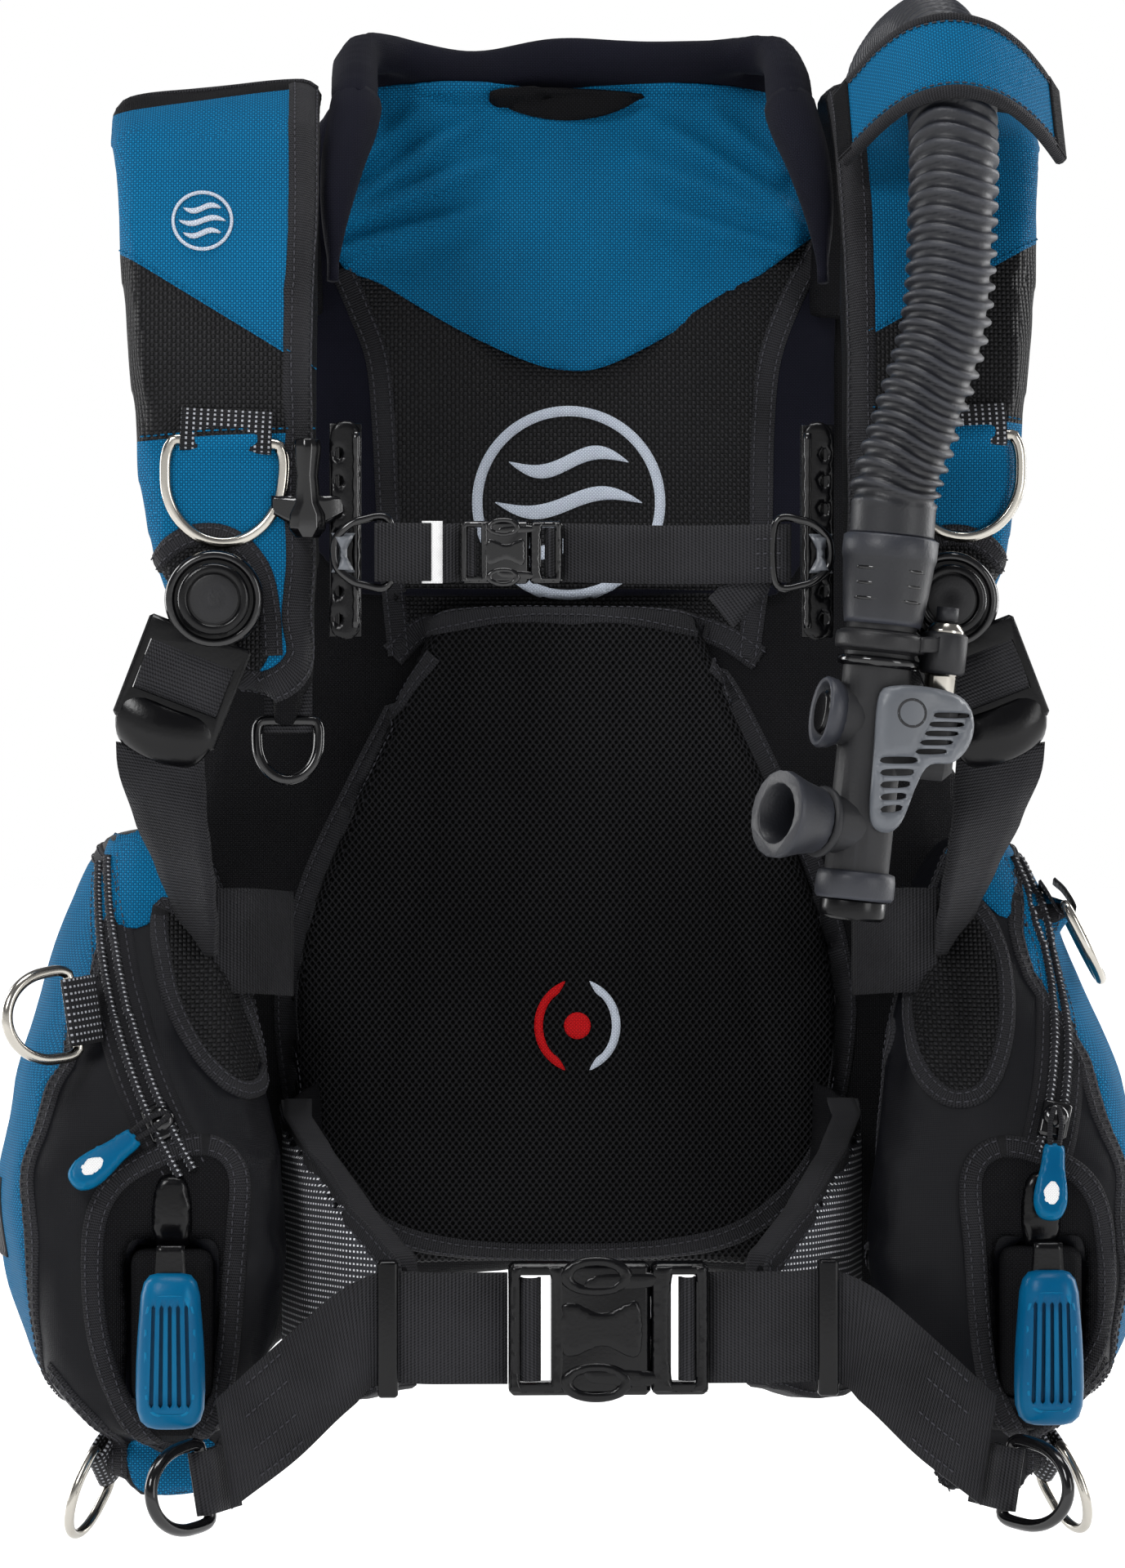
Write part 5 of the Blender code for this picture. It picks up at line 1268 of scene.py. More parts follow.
def make_chest_strap(side, sign, buckle_end):
    end = sign * 0.0905
    count = 7
    xs = [buckle_end + (end - buckle_end) * k / (count - 1) for k in range(count)]
    sag = [0.0009 * math.sin(3.1 * k / (count - 1)) for k in range(count)]
    centres = [(x, CHEST_Y + s * 0.6, CHEST_Z - s) for x, s in zip(xs, sag)]
    twist = [Vector((0, 0.0012 * math.sin(2 * k), 1)).normalized() * 0.0127 for k in range(count)]
    moves = side == "left"
    body = "chest_strap"
    web, rows = strap(f"sternum_webbing_{side}", centres, twist, WEB_THICK, WEBBING, None if moves else body,
        replaces=[f"sternum_strap_{side}"])
    if moves:
        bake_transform(web)
    web_end = sign * 0.086
    hook = [(web_end - sign * 0.002, CHEST_Y, CHEST_Z - 0.0132), (web_end + sign * 0.01, CHEST_Y, CHEST_Z - 0.014),
        (web_end + sign * 0.017, CHEST_Y, CHEST_Z - 0.0105), (sign * (RAIL_X + 0.0045), CHEST_Y + 0.001,
        CHEST_Z - 0.0048), (sign * (RAIL_X + 0.0045), CHEST_Y + 0.001, CHEST_Z + 0.0048),
        (web_end + sign * 0.017, CHEST_Y, CHEST_Z + 0.0105), (web_end + sign * 0.01, CHEST_Y, CHEST_Z + 0.014),
        (web_end - sign * 0.002, CHEST_Y, CHEST_Z + 0.0132)]
    tube(f"sternum_hook_{side}", line_through(hook, 0.0015, True), 0.0018, GLOSS, body, around=12,
        closed=True)
    x = sign * RAIL_X
    bow = mm((-5.2, -8.5), (5.2, -8.5), (1.8, -2), (1.8, 2), (5.2, 8.5), (-5.2, 8.5), (-1.8, 2), (-1.8, -2))
    sheet_piece(f"sternum_spring_{side}", bow, facing(x + sign * 0.001, CHEST_Y - 0.0012, CHEST_Z), GREY, body,
        thick=0.01, step=0.0018, smooth=False)
    shoe = mm((-4, -4.8), (4, -4.8), (4, 4.8), (-4, 4.8))
    sheet_piece(f"sternum_shoe_{side}", shoe, facing(x, -0.2278, CHEST_Z), SATIN, body, thick=0.0026, step=0.0018)
    out = 1 if rows[0][2].y < 0 else -1
    picks = rows[-6:-1] if side == "right" else rows[-5:-1]
    for share in (-0.5, 0.0, 0.5):
        line = [p + w * share + n * out * 0.0013 for p, w, n in picks]
        stitch_row(body, line, [n * out for _, _, n in picks], pitch=0.003, long=0.0022)
    # The webbing's end folds back round the hook.
    fold = [(sign * 0.0905, CHEST_Y - 0.0024, CHEST_Z), (sign * 0.078, CHEST_Y - 0.0026, CHEST_Z),
        (sign * 0.066, CHEST_Y - 0.0024, CHEST_Z)]
    if side == "right":
        strap("sternum_fold_right", fold, [Z * 0.0126] * 3, 0.002, WEBBING, body)


make_chest_strap("right", -1, -0.0534)
make_chest_strap("left", 1, -0.0086)
sheet_piece("sternum_tag", mm((-4.5, -13.5), (4.5, -13.5), (4.5, 13.5), (-4.5, 13.5)),
    facing(-0.0655, CHEST_Y - 0.0028, CHEST_Z), WHITE, "chest_strap", "webbing", thick=0.0012, step=0.003,
    smooth=False)
strap("sternum_tail", [(0.078, CHEST_Y + 0.004, CHEST_Z - 0.006), (0.07, CHEST_Y + 0.003, CHEST_Z - 0.016),
    (0.06, CHEST_Y + 0.001, CHEST_Z - 0.026)], [Vector((0.62, 0, -0.78)).normalized() * 0.0085] * 3, 0.0018, WEBBING,
    "chest_strap")


def rail_face(side, sign):
    """The rail's lugs and holes, seen from the front."""
    x, y = sign * RAIL_X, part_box(f"sternum_rail_{side}")[0].y
    holes = [oval(sign * 0.003, 0.072 + 0.012 * k, 0.0015, 0.0026, 12) for k in range(7)]
    plate = mm((-5.8, 66), (5.8, 66), (6.4, 90), (6.4, 130), (5.8, 155), (-5.8, 155), (-6.4, 130), (-6.4, 90))
    sheet_piece(f"rail_face_{side}", plate, facing(x, y - 0.0008, 0), SATIN, "harness", thick=0.0013, step=0.0024,
        holes=holes)
    tube(f"rail_bead_{side}", line_through([(x - sign * 0.0045, y - 0.0014, z) for z in (0.068, 0.09, 0.13, 0.153)],
        0.003), lambda run, angle: 0.0012 + 0.0005 * (math.sin(2 * math.pi * run / 0.0075) > -0.5), GLOSS, "harness",
        around=10)


for side, sign in SIDES:
    rail_face(side, sign)

# --- shoulder buckles and their straps -----------------------------------------------------------

SWIVEL = Vector((0.16, -0.2355, 0.08))
SPLAY = math.radians(21)


def make_buckle_parts(side, sign):
    pivot = Vector((sign * SWIVEL.x, SWIVEL.y, SWIVEL.z))
    body = BODY_OF[f"ladder_lock_{side}"]
    lathe(f"swivel_rim_{side}", mm((11.2, 9), (11.6, 10.4), (12.8, 11), (14.6, 10.6), (15.6, 9.4), (15.6, 8.4),
        (11.2, 8.4)), pivot, -Y, SATIN, "harness", around=48)
    lathe(f"swivel_dish_{side}", mm((0, 10), (6, 10), (10, 9.7), (11.3, 9.3), (11.3, 8.6), (0, 8.6)), pivot, -Y, MATT,
        "harness", around=40)
    lathe(f"swivel_collar_{side}", mm((17, 4.6), (17.8, 6.2), (20, 6), (21.4, 4), (21.4, 3), (17, 3)), pivot, -Y,
        GLOSS, body, around=48)
    turn = Matrix.Translation(pivot) @ Matrix.Rotation(-sign * SPLAY, 4, "Y")

    def at(x, y, z):
        return turn @ Vector((x, y, z))
    # Webbing that turns round the bar, then the thumb scoop below it.
    web = [at(0, 0.0045, -0.066), at(0, 0.004, -0.05), at(0, -0.0035, -0.047), at(0, -0.0074, -0.042),
        at(0, -0.0074, -0.033), at(0, -0.005, -0.0268), at(0, 0.001, -0.0235), at(0, 0.0056, -0.029),
        at(0, 0.0066, -0.066)]
    wide = (turn.to_3x3() @ X) * 0.019
    strap(f"buckle_webbing_{side}", web, [wide] * len(web), 0.0019, WEBBING, body, step=0.0022)
    scoop_rows = mm((-47.5, -6.6, 22.5), (-53, -8.8, 23), (-60, -10, 22.6), (-67, -8, 20.5), (-72, -3, 17))
    points, uvs = [], []
    for z, y, half in scoop_rows:
        for k in range(9):
            t = -1 + k / 4
            points.append(at(half * t, y + 0.005 * t * t, z - 0.003 * (1 - t * t)))
            uvs.append((half * t, z))
    count = len(points)
    points += [p + (turn.to_3x3() @ Y) * 0.0022 for p in points]
    faces = []
    for r in range(len(scoop_rows) - 1):
        for k in range(8):
            a = r * 9 + k
            faces += [(a, a + 1, a + 10, a + 9), (a + count, a + count + 9, a + count + 10, a + count + 1)]
    rim = ([k for k in range(9)] + [r * 9 + 8 for r in range(1, len(scoop_rows))]
        + [(len(scoop_rows) - 1) * 9 + k for k in range(7, -1, -1)] + [r * 9
        for r in range(len(scoop_rows) - 2, 0, -1)])
    faces += [(a, b, b + count, a + count) for a, b in zip(rim, rim[1:] + rim[:1])]
    scoop = add(f"buckle_scoop_{side}", points, faces, SATIN, body, uvs + uvs)
    round_off = scoop.modifiers.new("soften", "SUBSURF")
    round_off.levels = round_off.render_levels = 1
    # The strap from the buckle down to the hip.
    lower = mm((183.5, -228.5, 15), (183, -223, 4), (179, -212, -18), (173.5, -201, -38), (169, -188, -57),
        (166, -172, -76))
    half = mm((19, -4, 3), (19, -4, 3), (16, 6, 3), (12.5, 10, 2), (9, 12, 0), (6, 13, 0))
    main, _ = strap(f"adjuster_webbing_{side}", mirrored(sign, lower), mirrored(sign, half), WEB_THICK, WEBBING, None,
        replaces=[f"adjuster_strap_{side}"])
    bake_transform(main)


for side, sign in SIDES:
    make_buckle_parts(side, sign)
    band = mirrored(sign, mm((162, -174, -70), (145, -166, -70), (127, -142, -72)))
    strap(f"hip_webbing_{side}", band, [Z * 0.0235] * 3, WEB_THICK, WEBBING)

# --- side pockets --------------------------------------------------------------------------------

POCKET_SHAPES = {
    "right": {"wedge": mm((-210, -30), (-200, -17), (-180, -15), (-160, -18), (-156, -30), (-172, -48), (-195, -64),
        (-210, -56)), "window": mm((-185, -56), (-172, -60), (-156, -82), (-144, -108), (-140, -132), (-151, -134),
        (-168, -118), (-181, -90)), "mouth": mm((-163, -158), (-150, -170), (-151, -200), (-154, -245), (-160, -274),
        (-176, -290), (-196, -278), (-210, -243), (-213, -199.1), (-205, -176), (-185, -163)),
        "lower": mm((-196, -288), (-164, -288), (-161, -300), (-166, -311), (-185, -313), (-196, -308)),},
    "left": {"wedge": mm((164, -20), (178, -17), (196, -26), (200, -42), (193, -60), (180, -50), (168, -38)),
        "window": mm((160.8, -56), (178, -54), (189, -76), (189, -108.9), (179, -134.3), (162, -137.9), (150, -120),
        (152, -85)), "mouth": mm((184, -160), (172, -172), (173, -205), (176, -245), (182, -270), (195, -286),
        (213, -274), (229, -243), (231, -200), (223, -176), (205, -164)),},
}
POUCH_X = {"right": 0.1785, "left": 0.202}
GUSSET = mm((-164, -50), (-135, -33), (-90, -33), (-70, -60), (-68, -150), (-72, -240), (-100, -268), (-150, -274),
    (-195, -260), (-209, -210), (-208, -170), (-190, -120))


def zip_line(side):
    """The slider's middle, as it goes round its joint's axis."""
    joint = next(j for j in frame["joints"] if j["name"] == f"zip_travel_{side}")
    low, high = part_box(f"zip_slider_{side}")
    at, axis = Vector(joint["pos_m"]), Vector(joint["axis"]).normalized()
    first, last = -5.0, 24.1 if side == "right" else 36.2
    arm = (low + high) / 2 - at
    return [at + Matrix.Rotation(math.radians(first + (last - first) * k / 40), 3, axis) @ arm for k in range(41)]


def make_zip(side):
    line = line_through(zip_line(side), 0.0023)
    skin = ON_POCKET[side]
    places = [skin.drop(p) for p in line]
    ground = [p for p, _ in places]
    normals = [n if n.y < 0 else -n for _, n in places]
    tape(f"zip_tape_{side}", skin, [tuple(p) for p in line_through(line, 0.006)], 0.024, ZIP_TAPE, thick=0.0009,
        rows=2, inset=0.003)
    ways = directions(line)
    for row in (-1, 1):
        track = [p + w.cross(n).normalized() * row * 0.0034 + n * 0.0016 for p, n, w in zip(ground, normals, ways)]
        tube(f"zip_coil_{side}_{'inner' if row < 0 else 'outer'}", line_through(track, 0.0009),
            lambda run, angle: 0.0019 + 0.0005 * math.cos(2 * math.pi * run / 0.0023 + 0.6 * math.sin(angle)),
            ZIP_COIL, "harness", around=8)
    low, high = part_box(f"zip_slider_{side}")
    middle = (low + high) / 2
    normal = Vector((0, -1, 0.4)).normalized()
    pull_low, pull_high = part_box(f"zip_pull_{side}")
    pull = (pull_low + pull_high) / 2
    way = (pull - middle)
    way = (way - normal * way.dot(normal)).normalized()
    # The pull's tab with a plain oval inlay, and the cord that ties it to the slider.
    across = normal.cross(way)
    body = BODY_OF[f"zip_pull_{side}"]
    half = mm((2.8, 13.5), (4.5, 15), (5.3, 24), (7.2, 35), (6.8, 42.5), (3.4, 47.5))
    tab = sheet_piece(f"zip_tab_{side}", [(-u, v) for u, v in half] + list(half[::-1]),
        lambda u, v: (middle + normal * (0.0104 - 14 * u * u) + across * u + way * v, normal), BLUE_PLASTIC, body,
        "blue_plastic", thick=0.0044, step=0.0014)
    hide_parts(f"zip_pull_{side}")
    inlay = middle + normal * 0.0106 + way * 0.037
    sheet_piece(f"zip_inlay_{side}", oval(0, 0, 0.0038, 0.006, 20), lambda u, v: (inlay + across * u + way * v,
        normal), WHITE, body, "blue_plastic", thick=0.0009, step=0.0014)
    loop = [middle + normal * 0.0045 + way * -0.005, middle + normal * 0.0078 + across * 0.0024 + way * 0.003,
        middle + normal * 0.0084 + across * 0.0016 + way * 0.016, middle + normal * 0.0084 - across * 0.0016
        + way * 0.016, middle + normal * 0.0078 - across * 0.0024 + way * 0.003]
    tube(f"zip_cord_{side}", line_through(loop, 0.0012, True), 0.0012, BINDING, body, around=8,
        closed=True)
    lathe(f"zip_dome_{side}", mm((0, 3), (4, 2.8), (5.6, 1.4), (5.8, 0), (0, 0)),
        middle + normal * 0.003 - way * 0.001, normal, GLOSS, BODY_OF[f"zip_slider_{side}"],
        around=24)


def dress_pocket(side, sign):
    skin = ON_POCKET[side]
    shapes = POCKET_SHAPES[side]
    inward = Vector((-sign, 0, 0))
    patch(f"pocket_gusset_{side}", skin, GUSSET, BLUE, "blue_cloth", way=inward, lift=0.0012, step=0.005)
    tape(f"pocket_gusset_tape_{side}", skin, [Vector((sign * 0.26, y, z)) for y, z in GUSSET], 0.009, way=inward,
        closed=True)
    patch(f"pocket_wedge_{side}", skin, shapes["wedge"], BLUE, "blue_cloth", lift=0.0014)
    patch(f"pocket_window_{side}", skin, shapes["window"], BALLISTIC, lift=0.0016, step=0.003)
    tape(f"pocket_window_tape_{side}", skin, shapes["window"], 0.0085, thick=0.002, closed=True)
    x = sign * POUCH_X[side]
    hole = [(x - 0.0192, -0.2715), (x, -0.2718), (x + 0.0192, -0.2715), (x + 0.0192, -0.236), (x + 0.0192, -0.201),
        (x, -0.2006), (x - 0.0192, -0.201), (x - 0.0192, -0.236)]
    patch(f"holster_face_{side}", skin, shapes["mouth"], NYLON, lift=0.0012, holes=[hole], step=0.003)
    tape(f"holster_tape_{side}", skin, shapes["mouth"], 0.01, thick=0.0026, closed=True)
    if side == "right":
        patch(f"pocket_lower_{side}", skin, shapes["lower"], BLUE, "blue_cloth", lift=0.0012, step=0.003)
    hem = mirrored(sign, mm((233, -256), (216, -276), (203.5, -288), (202, -306), (188, -315), (168, -314),
        (158, -302), (156, -286)))
    tape(f"pocket_hem_{side}", skin, hem, 0.0085)
    inner = mirrored(sign, mm((164, -26), (156, -42), (148, -80), (139, -125), (131, -165), (129, -215), (137, -258)))
    tape(f"pocket_inner_tape_{side}", skin, inner, 0.0095)

    def place(u, v):
        at, normal = skin.drop(Vector((sign * 0.235, u, v)), inward, 0.06)
        return at + normal * 0.003, normal
    for k in range(7):
        y = -0.17 + 0.0045 * k
        bar = [(y - 0.0014, -0.21), (y + 0.0014, -0.21), (y + 0.0014, -0.175), (y - 0.0014, -0.175)]
        sheet_piece(f"pocket_grip_rib_{side}_{k}", bar, place, DARK_RUBBER, "harness", "rubber", thick=0.0016,
            step=0.003, smooth=False)
    make_zip(side)


for side, sign in SIDES:
    dress_pocket(side, sign)

# --- weight pouches ------------------------------------------------------------------------------

GRIP_Y, GRIP_Z = -0.25, -0.2445
GRIP_AROUND = 36
# height, half width, half depth
GRIP_LEVELS = mm((-33.5, 7, 4.5), (-32.6, 10.2, 7.2), (-30, 13, 9.6), (-25, 14.6, 11.2), (-17, 15, 11.9),
    (-6, 14.8, 12), (6, 14.2, 11.8), (16, 13.4, 11.4), (24, 12.8, 10.6), (29.5, 11.4, 9), (32.5, 9, 6.6),
    (33.5, 5.6, 4))


def make_pouch(side, sign):
    body = BODY_OF[f"weight_pouch_{side}"]
    x = sign * POUCH_X[side]
    soft(f"weight_pouch_{side}", "bag", 0.003, NYLON, body=body, pressure=0, turns=3)
    # The latch above the grip.
    latch = [(x - 0.0065, -0.201), (x + 0.0065, -0.201), (x + 0.0085, -0.185), (x + 0.005, -0.172),
        (x - 0.005, -0.172), (x - 0.0085, -0.185)]
    skin = ON_POCKET[side]
    patch(f"holster_latch_{side}", skin, latch, SATIN, "black_plastic", lift=0.0042, thick=0.004, step=0.0025)
    points = []
    for z, gx, gy in GRIP_LEVELS:
        for k in range(GRIP_AROUND):
            a = 2 * math.pi * k / GRIP_AROUND
            c, n = math.cos(a), math.sin(a)
            points.append((x + gx * math.copysign(abs(c) ** 0.75, c), GRIP_Y + gy * math.copysign(abs(n) ** 0.75, n),
                GRIP_Z + z))
    grip = add(f"grip_{side}", points, ring_faces(len(GRIP_LEVELS), GRIP_AROUND), BLUE_PLASTIC, None)
    cutter = bpy.data.meshes.new("slots")
    spots, faces = [], []
    for sx in (-0.008, -0.004, 0.0, 0.004, 0.008):
        ends = [(sx - 0.0009, -0.0225), (sx, -0.0236), (sx + 0.0009, -0.0225), (sx + 0.0009, 0.0195), (sx, 0.0206),
            (sx - 0.0009, 0.0195)]
        first = len(spots)
        spots += [(x + u * (1.0 - 0.12 * (v > 0)), GRIP_Y - depth, GRIP_Z + v) for depth in (0.02, 0.0075) for u,
            v in ends]
        faces += [tuple(range(first, first + 6)), tuple(range(first + 11, first + 5, -1))]
        faces += [(first + k, first + 6 + k, first + 6 + (k + 1) % 6, first + (k + 1) % 6) for k in range(6)]
    cutter.from_pydata(spots, [], faces)
    tidy(cutter)
    tool = bpy.data.objects.new("slots", cutter)
    bpy.context.scene.collection.objects.link(tool)
    carve = grip.modifiers.new("slots", "BOOLEAN")
    carve.object, carve.operation, carve.solver = tool, "DIFFERENCE", "EXACT"
    baked(grip)
    bpy.data.objects.remove(tool)
    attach(grip, body)
    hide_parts(f"pouch_grip_{side}")

    def shell(u, v):
        _, gx, gy = min(GRIP_LEVELS, key=lambda row: abs(row[0] - v))
        t = min(0.999, (abs(u) / gx)) ** (1 / 0.75)
        return Vector((x + u, GRIP_Y - gy * math.sqrt(1 - t * t) ** 0.75 - 0.0006, GRIP_Z + v)), -Y
    outer = [(0.011 * math.copysign(abs(math.cos(a)) ** 0.5, math.cos(a)),
        -0.0015 + 0.0262 * math.copysign(abs(math.sin(a)) ** 0.4, math.sin(a)))
        for a in (2 * math.pi * k / 40 for k in range(40))]
    sheet_piece(f"grip_frame_{side}", outer, shell, BLUE_PLASTIC, body, "blue_plastic",
        holes=[[(u * 0.9, (v + 0.0015) * 0.955 - 0.0015) for u, v in outer]], thick=0.0012, step=0.0014)
    neck = [Vector((x, GRIP_Y + 0.004, GRIP_Z + z)) for z in (0.028, 0.036, 0.045)]
    strap(f"grip_neck_{side}", neck, [X * 0.0075, X * 0.0065, X * 0.006], 0.007, SATIN, body,
        step=0.003)


for side, sign in SIDES:
    make_pouch(side, sign)

strap("toggle_anchor", mm((-134.5, -229, 121.5), (-126, -232, 119), (-119, -233, 118), (-112, -232, 119),
    (-104, -229, 121.5)), [Z * h for h in (0.004, 0.006, 0.0092, 0.006, 0.004)], 0.004, GLOSS, "harness",
    step=0.0015)

# --- hip wings -----------------------------------------------------------------------------------


# How far out, how far forward, top and bottom, from the back pad to the tip.
WING_ROWS = mm((113, -73, -136, -262), (124, -100, -142, -266), (124, -140, -150, -270), (114, -180, -163, -272),
    (96, -212, -186, -270), (74, -236, -210, -260))


def dress_wing(side, sign):
    """The wing's flecked mesh and the tape that binds its edge."""
    skin = ON_WING[side]
    rows = [Vector((sign * x, y, 0)) for x, y, _, _ in WING_ROWS]
    marks = [0.0]
    for a, b in zip(rows, rows[1:]):
        marks.append(marks[-1] + (b - a).length)

    def between(u, values):
        u = min(max(u, 0.0), marks[-1] - 1e-6)
        k = max(i for i in range(len(marks) - 1) if marks[i] <= u)
        t = (u - marks[k]) / (marks[k + 1] - marks[k])
        return values[k] * (1 - t) + values[k + 1] * t

    def place(u, v):
        at = between(u, rows) + Z * v
        along = between(u + 0.004, rows) - between(u - 0.004, rows)
        out = Vector((-along.y, along.x, 0)).normalized()
        out = out if out.x * sign > 0 or out.y < 0 else -out
        found = skin.tree.ray_cast(at + out * 0.012, -out, 0.03)[0]
        if found is None:
            found = at + out * 0.0045
        return found + out * 0.0009, out
    tops, lows = [row[2] for row in WING_ROWS], [row[3] for row in WING_ROWS]
    steps = [marks[-1] * k / 14 for k in range(3, 15)]
    border = [(u - (0.004 if k == 11 else 0), between(u, tops) - 0.005) for k, u in enumerate(steps)]
    border += [(u - (0.004 if k == 11 else 0), between(u, lows) + 0.005) for k, u in reversed(list(enumerate(steps)))]
    sheet_piece(f"hip_mesh_{side}", border, place, GREY_MESH, "harness", "mesh_cloth", step=0.004, smooth=False)
    line = line_through([(u, v, 0) for u, v in border], 0.003)
    found = [place(p.x, p.y) for p in line]
    points = [p + n * 0.0006 for p, n in found]
    widths = [n.cross(b - a).normalized() * 0.005 for (a, n), (b, _) in zip([found[0], *found[:-1]],
        [*found[1:], found[-1]])]
    strap(f"hip_tape_{side}", points[::2], widths[::2], 0.0016, BINDING, "harness", step=0.003)
    for share in (-0.55, 0.55):
        stitch_row("harness", [p + w * share + n * 0.0009 for p, w, (_, n) in zip(points, widths, found)],
            [n for _, n in found])
    rim = [between(p.x, rows) + Z * (p.y + (0.0045 if k < len(line) / 2 else -0.0045)) for k, p in enumerate(line)]
    strap(f"hip_edge_{side}", rim[::2], [n * 0.0062 for _, n in found][::2], 0.0016, BINDING, "harness",
        step=0.003)


for side, sign in SIDES:
    dress_wing(side, sign)

# --- hose flap -----------------------------------------------------------------------------------

FLAP_CENTRE = Vector((0.162, -0.2205, 0.3))
FLAP_LEAN = math.radians(52)
FLAP_ARCH = mm((-46.5, -18), (-39, -5), (-29, 11), (-16, 23.5), (0, 28), (16, 23.5), (29, 13), (40, -1), (49, -16))


def make_flap():
    along = Vector((0, -math.cos(FLAP_LEAN), -math.sin(FLAP_LEAN)))
    out = Vector((0, -math.sin(FLAP_LEAN), math.cos(FLAP_LEAN)))
    centres = [FLAP_CENTRE + Vector((x, 0, 0)) + out * lift for x, lift in FLAP_ARCH]
    body = BODY_OF["hose_flap"]
    halves = [0.0205, 0.0215, 0.0225, 0.023, 0.023, 0.023, 0.0225, 0.0215, 0.0205]
    flap, rows = strap("hose_flap_cloth", centres, [along * h for h in halves], 0.0038, BLUE, body,
        replaces=["hose_flap"], step=0.0025)
    flap.data.materials.clear()
    flap.data.materials.append(woven("blue pack cloth strip", rgb(2, 42, 70), rgb(13, 118, 166), 0.0011, 0.0003, 0.6,
        strip=True, patchy=0.05))
    sense = 1 if rows[len(rows) // 2][2].dot(out) > 0 else -1
    for edge in (-1, 1):
        line = [p + w * 0.955 * edge for p, w, n in rows]
        tube(f"flap_binding_{'top' if edge < 0 else 'low'}", line, lambda run, angle: 0.003, BINDING, body,
            around=10)
        stitched = [p + w * 0.82 * edge + n * sense * 0.0021 for p, w, n in rows]
        stitch_row(body, stitched, [n * sense for _, _, n in rows])
    for end, name in ((rows[:5], "inner"), (rows[-5:], "outer")):
        strap(f"flap_end_{name}", [p + n * sense * 0.0012 for p, _, n in end], [w * 1.02 for _, w, _ in end], 0.0034,
            NYLON, body, step=0.002)


make_flap()

# --- back of the vest ----------------------------------------------------------------------------

TANK_R, BAND_Z = 0.092, 0.018


def make_band():
    radius, start = TANK_R + 0.0022, math.radians(50)
    turns = [start + (2 * math.pi - 2 * start) * k / 30 for k in range(31)]
    arc = [Vector((radius * math.sin(a), TANK_R - radius * math.cos(a), BAND_Z)) for a in turns]
    entry = [Vector((0.0765, -0.003, BAND_Z)), Vector((0.0775, 0.015, BAND_Z))]
    line = [*entry, *arc, *[Vector((-p.x, p.y, p.z)) for p in entry[::-1]]]
    _, rows = strap("tank_band_webbing", line, [Z * 0.025] * len(line), WEB_THICK, WEBBING, replaces=["tank_band"],
        step=0.004)
    out = 1 if rows[len(rows) // 2][2].y > 0 else -1
    strap_stitches(rows[8:-8], 0.86, out)


make_band()
ON_CELL = Skin(CELL)
CELL_EDGE = mm((0, 290), (80, 286), (145, 272), (175, 238), (174, 180), (170, 100), (172, 30), (193, -30), (216, -90),
    (222, -160), (216, -215), (193, -262), (173, -274), (158, -268), (137, -250), (112, -235), (90, -228),
    (55, -223.5), (0, -221.5))


def dress_rear():
    ring = list(CELL_EDGE) + [(-x, z) for x, z in CELL_EDGE[-2:0:-1]]
    tape("rear_edge_tape", ON_CELL, [Vector((x, 0.05, z)) for x, z in ring], 0.011, way=-Y, closed=True)
    for side, sign in SIDES:
        panel = mirrored(sign, mm((98, 270), (135, 264), (162, 235), (160, 150), (156, 30), (180, -40), (202, -110),
            (206, -190), (178, -248), (150, -242), (125, -224), (105, -216), (102, -100), (98, 100)))
        patch(f"rear_panel_{side}", ON_CELL, panel, BALLISTIC, way=-Y, depth=0.05, lift=0.001, step=0.006)
        tape(f"rear_seam_{side}", ON_CELL, [Vector((sign * 0.0985, 0.05, z))
            for z in (0.272, 0.18, 0.08, -0.02, -0.12, -0.2, -0.214)], 0.01, way=-Y)
    yoke = mm((-85, 280), (0, 284), (85, 280), (86, 215), (0, 196), (-86, 215))
    patch("rear_yoke", ON_CELL, yoke, BLUE, "blue_cloth", way=-Y, depth=0.05, lift=0.0012, step=0.006)


dress_rear()

# --- inflator details ----------------------------------------------------------------------------

INFLATOR = Matrix.Translation((0.132, -0.264, 0.106)) @ Matrix.Rotation(math.radians(6), 4, "Y")


def on_inflator(x, y, z):
    return INFLATOR @ Vector((x, y, z))


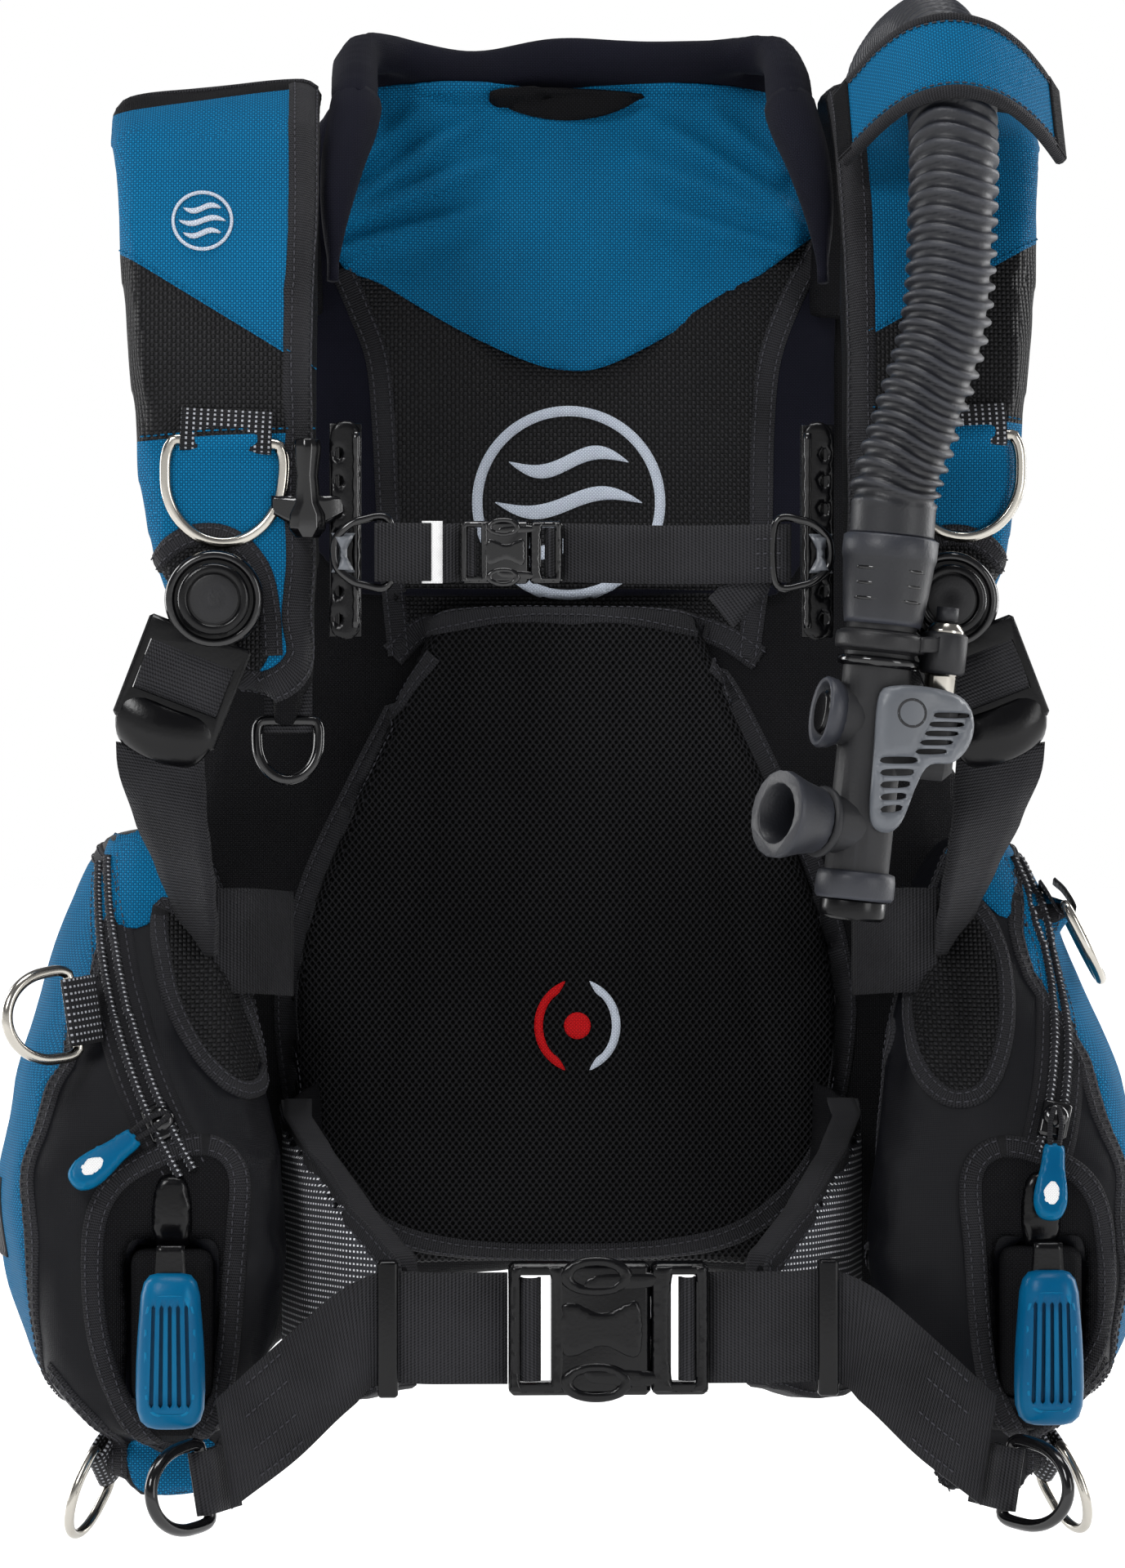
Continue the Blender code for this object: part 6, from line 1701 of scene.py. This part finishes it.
def make_inflator_details():
    turn = INFLATOR.to_3x3()
    down = turn @ -Z

    def turned(name, profile, at, material=RUBBER, way=down, around=48, ribs=None):
        lathe(name, profile, at, way, material, "inflator", around, ribs)

    turned("hose_shroud", mm((0, 0), (19, 0), (20.6, 1), (20.6, 9), (20, 11), (19.8, 11.8), (18.6, 25), (17.2, 36),
        (16.6, 38.5), (0, 38.5)), on_inflator(0, 0, 0.0008))
    for k in range(3):
        height = 0.014 + 0.0065 * k
        for turn_by in (-35, 35):
            a = math.radians(turn_by - 90)
            r = 0.02 - 0.1 * (height - 0.0118)
            centre = on_inflator(r * math.cos(a), r * math.sin(a), -height)
            outward = turn @ Vector((math.cos(a), math.sin(a), 0))
            across = turn @ Vector((-math.sin(a), math.cos(a), 0))

            def place(u, v):
                return centre + across * u - down * v - outward * (u * u / 0.04), outward
            # Dark gloss ovals stand for the shroud's slots: painted shade where the openings are, not cut holes.
            sheet_piece(f"shroud_slot_shade_{k}_{'a' if turn_by < 0 else 'b'}", oval(0, 0, 0.006, 0.0011, 14), place, GLOSS,
                "inflator", "rubber", thick=0.0006, step=0.0012)
    turned("hose_clamp", mm((17.6, 0), (19.2, 0.4), (19.6, 2), (19.6, 5.8), (19.2, 7.4), (17.6, 7.8)),
        on_inflator(0, 0, -0.0412), MATT)
    turned("barrel_ring", mm((15, 0), (17.6, 0.6), (18.2, 2.2), (17.6, 4.2), (15, 4.8)), on_inflator(0, 0, -0.0515),
        GLOSS)
    turned("barrel_base", mm((13.5, 0), (16.6, 1), (17.2, 4), (17.2, 11), (16, 12.6), (0, 12.6)),
        on_inflator(0, 0, -0.144))
    # The strap from the clamp to the nipple's cap.
    arm = [on_inflator(0.016, -0.01, -0.0448), on_inflator(0.022, -0.007, -0.044), on_inflator(0.0275, 0.0, -0.043)]
    strap("clamp_arm", arm, [turn @ Vector((0, 0, 0.0034))] * 3, 0.0022, MATT, "inflator",
        step=0.002)
    turned("nipple_cap", mm((0, 0), (8.6, 0), (10, 1.2), (10, 16.5), (8.8, 18), (0, 18)),
        on_inflator(0.028, 0.004, -0.038), DARK_RUBBER, around=72, ribs=(24, 0.0007, 0.002, 0.016))
    turned("nipple_neck", mm((0, 0), (4.8, 0), (4.8, 6), (0, 6)), on_inflator(0.028, 0.004, -0.033), DARK_RUBBER,
        way=-down, around=24)
    # The guard round the oral button, and the slotted finger plate over the gas valve.
    button = on_inflator(0, 0, -0.079)
    toward = turn @ Vector((-0.97, -0.2, 0.06)).normalized()
    turned("button_guard", mm((11, 15), (12.8, 15), (15, 18.5), (15.6, 22.5), (14.6, 24), (12.8, 23.2), (11.8, 20.5)),
        button, way=toward, around=40)
    u_axis, v_axis = turn @ Vector((0.94, 0.34, 0)).normalized(), turn @ Z
    normal = u_axis.cross(v_axis)
    normal = normal if normal.y < 0 else -normal
    origin = on_inflator(0.0215, -0.015, -0.0845)
    outline = mm((-18, 13), (-12, 18.5), (4, 19), (16, 16), (21.5, 8), (20, -1), (13, -8), (3, -10), (-1, -18),
        (-4.5, -33), (-10, -37), (-15.5, -32), (-17.5, -12))
    slots = []
    for k in range(5):
        top, low = 0.01 - 0.0036 * k, 0.0082 - 0.0036 * k
        left, right = 0.004 - 0.0015 * k, 0.0175 - 0.0022 * k
        slots.append([(left, low), (right, low + 0.0012), (right + 0.0004, top + 0.001), (left, top)])
    for k in range(5):
        z = -0.011 - 0.0046 * k
        left, right = -0.0145 + 0.0006 * k, -0.003 - 0.0006 * k
        slots.append([(left, z), (right, z + 0.0012), (right, z + 0.0034), (left, z + 0.0022)])

    def bowed(u, v):
        u, v = 1.18 * u, 1.14 * v
        return origin + u_axis * u + v_axis * v + normal * (0.003 - 9.0 * u * u - 3.0 * v * v), normal
    sheet_piece("valve_plate", outline, bowed, GREY, "inflator", holes=slots, thick=0.003, step=0.0022)
    ring, core = (oval(-0.0065, 0.0088, r, r, 24) for r in (0.0056, 0.0046))
    sheet_piece("valve_plate_ring", ring, lambda u, v: (bowed(u, v)[0] + normal * 0.0006, normal), MATT, "inflator",
        holes=[core], thick=0.001, step=0.0012)
    mouth_at, mouth = on_inflator(0, 0, -0.126), turn @ Vector((-0.86, -0.5, 0.06)).normalized()
    turned("mouth_flange", mm((12, 19), (15, 20), (15.6, 21.6), (15, 23.2), (12, 23.6)), mouth_at, DARK_RUBBER,
        way=mouth)


make_inflator_details()

make_stitches()

FLOOR_HALF, FLOOR_Z = 20, -0.42
floor = bpy.data.objects.new("floor", bpy.data.meshes.new("floor"))
floor_corners = [(x * FLOOR_HALF, y * FLOOR_HALF, FLOOR_Z) for x, y in ((-1, -1), (1, -1), (1, 1), (-1, 1))]
floor.data.from_pydata(floor_corners, [], [(0, 1, 2, 3)])
floor_paint = moulded("floor", (0.93, 0.93, 0.93, 1), (0.98, 0.98, 0.98, 1), 0.8)
floor_glow = floor_paint.node_tree.nodes["Principled BSDF"].inputs
floor_glow["Emission Color"].default_value = (1, 1, 1, 1)
# Far from the object the floor glows, so that no horizon shows.
new_node, link = floor_paint.node_tree.nodes.new, floor_paint.node_tree.links.new
floor_place, away, glow = (new_node(f"ShaderNode{kind}") for kind in ("TexCoord", "VectorMath", "MapRange"))
away.operation = "LENGTH"
for socket, value in (("From Min", 0.8), ("From Max", 2.6), ("To Min", 0.45), ("To Max", 1.0)):
    glow.inputs[socket].default_value = value
link(floor_place.outputs["Object"], away.inputs[0])
link(away.outputs["Value"], glow.inputs["Value"])
link(glow.outputs["Result"], floor_glow["Emission Strength"])
floor.data.materials.append(floor_paint)
bpy.context.scene.collection.objects.link(floor)
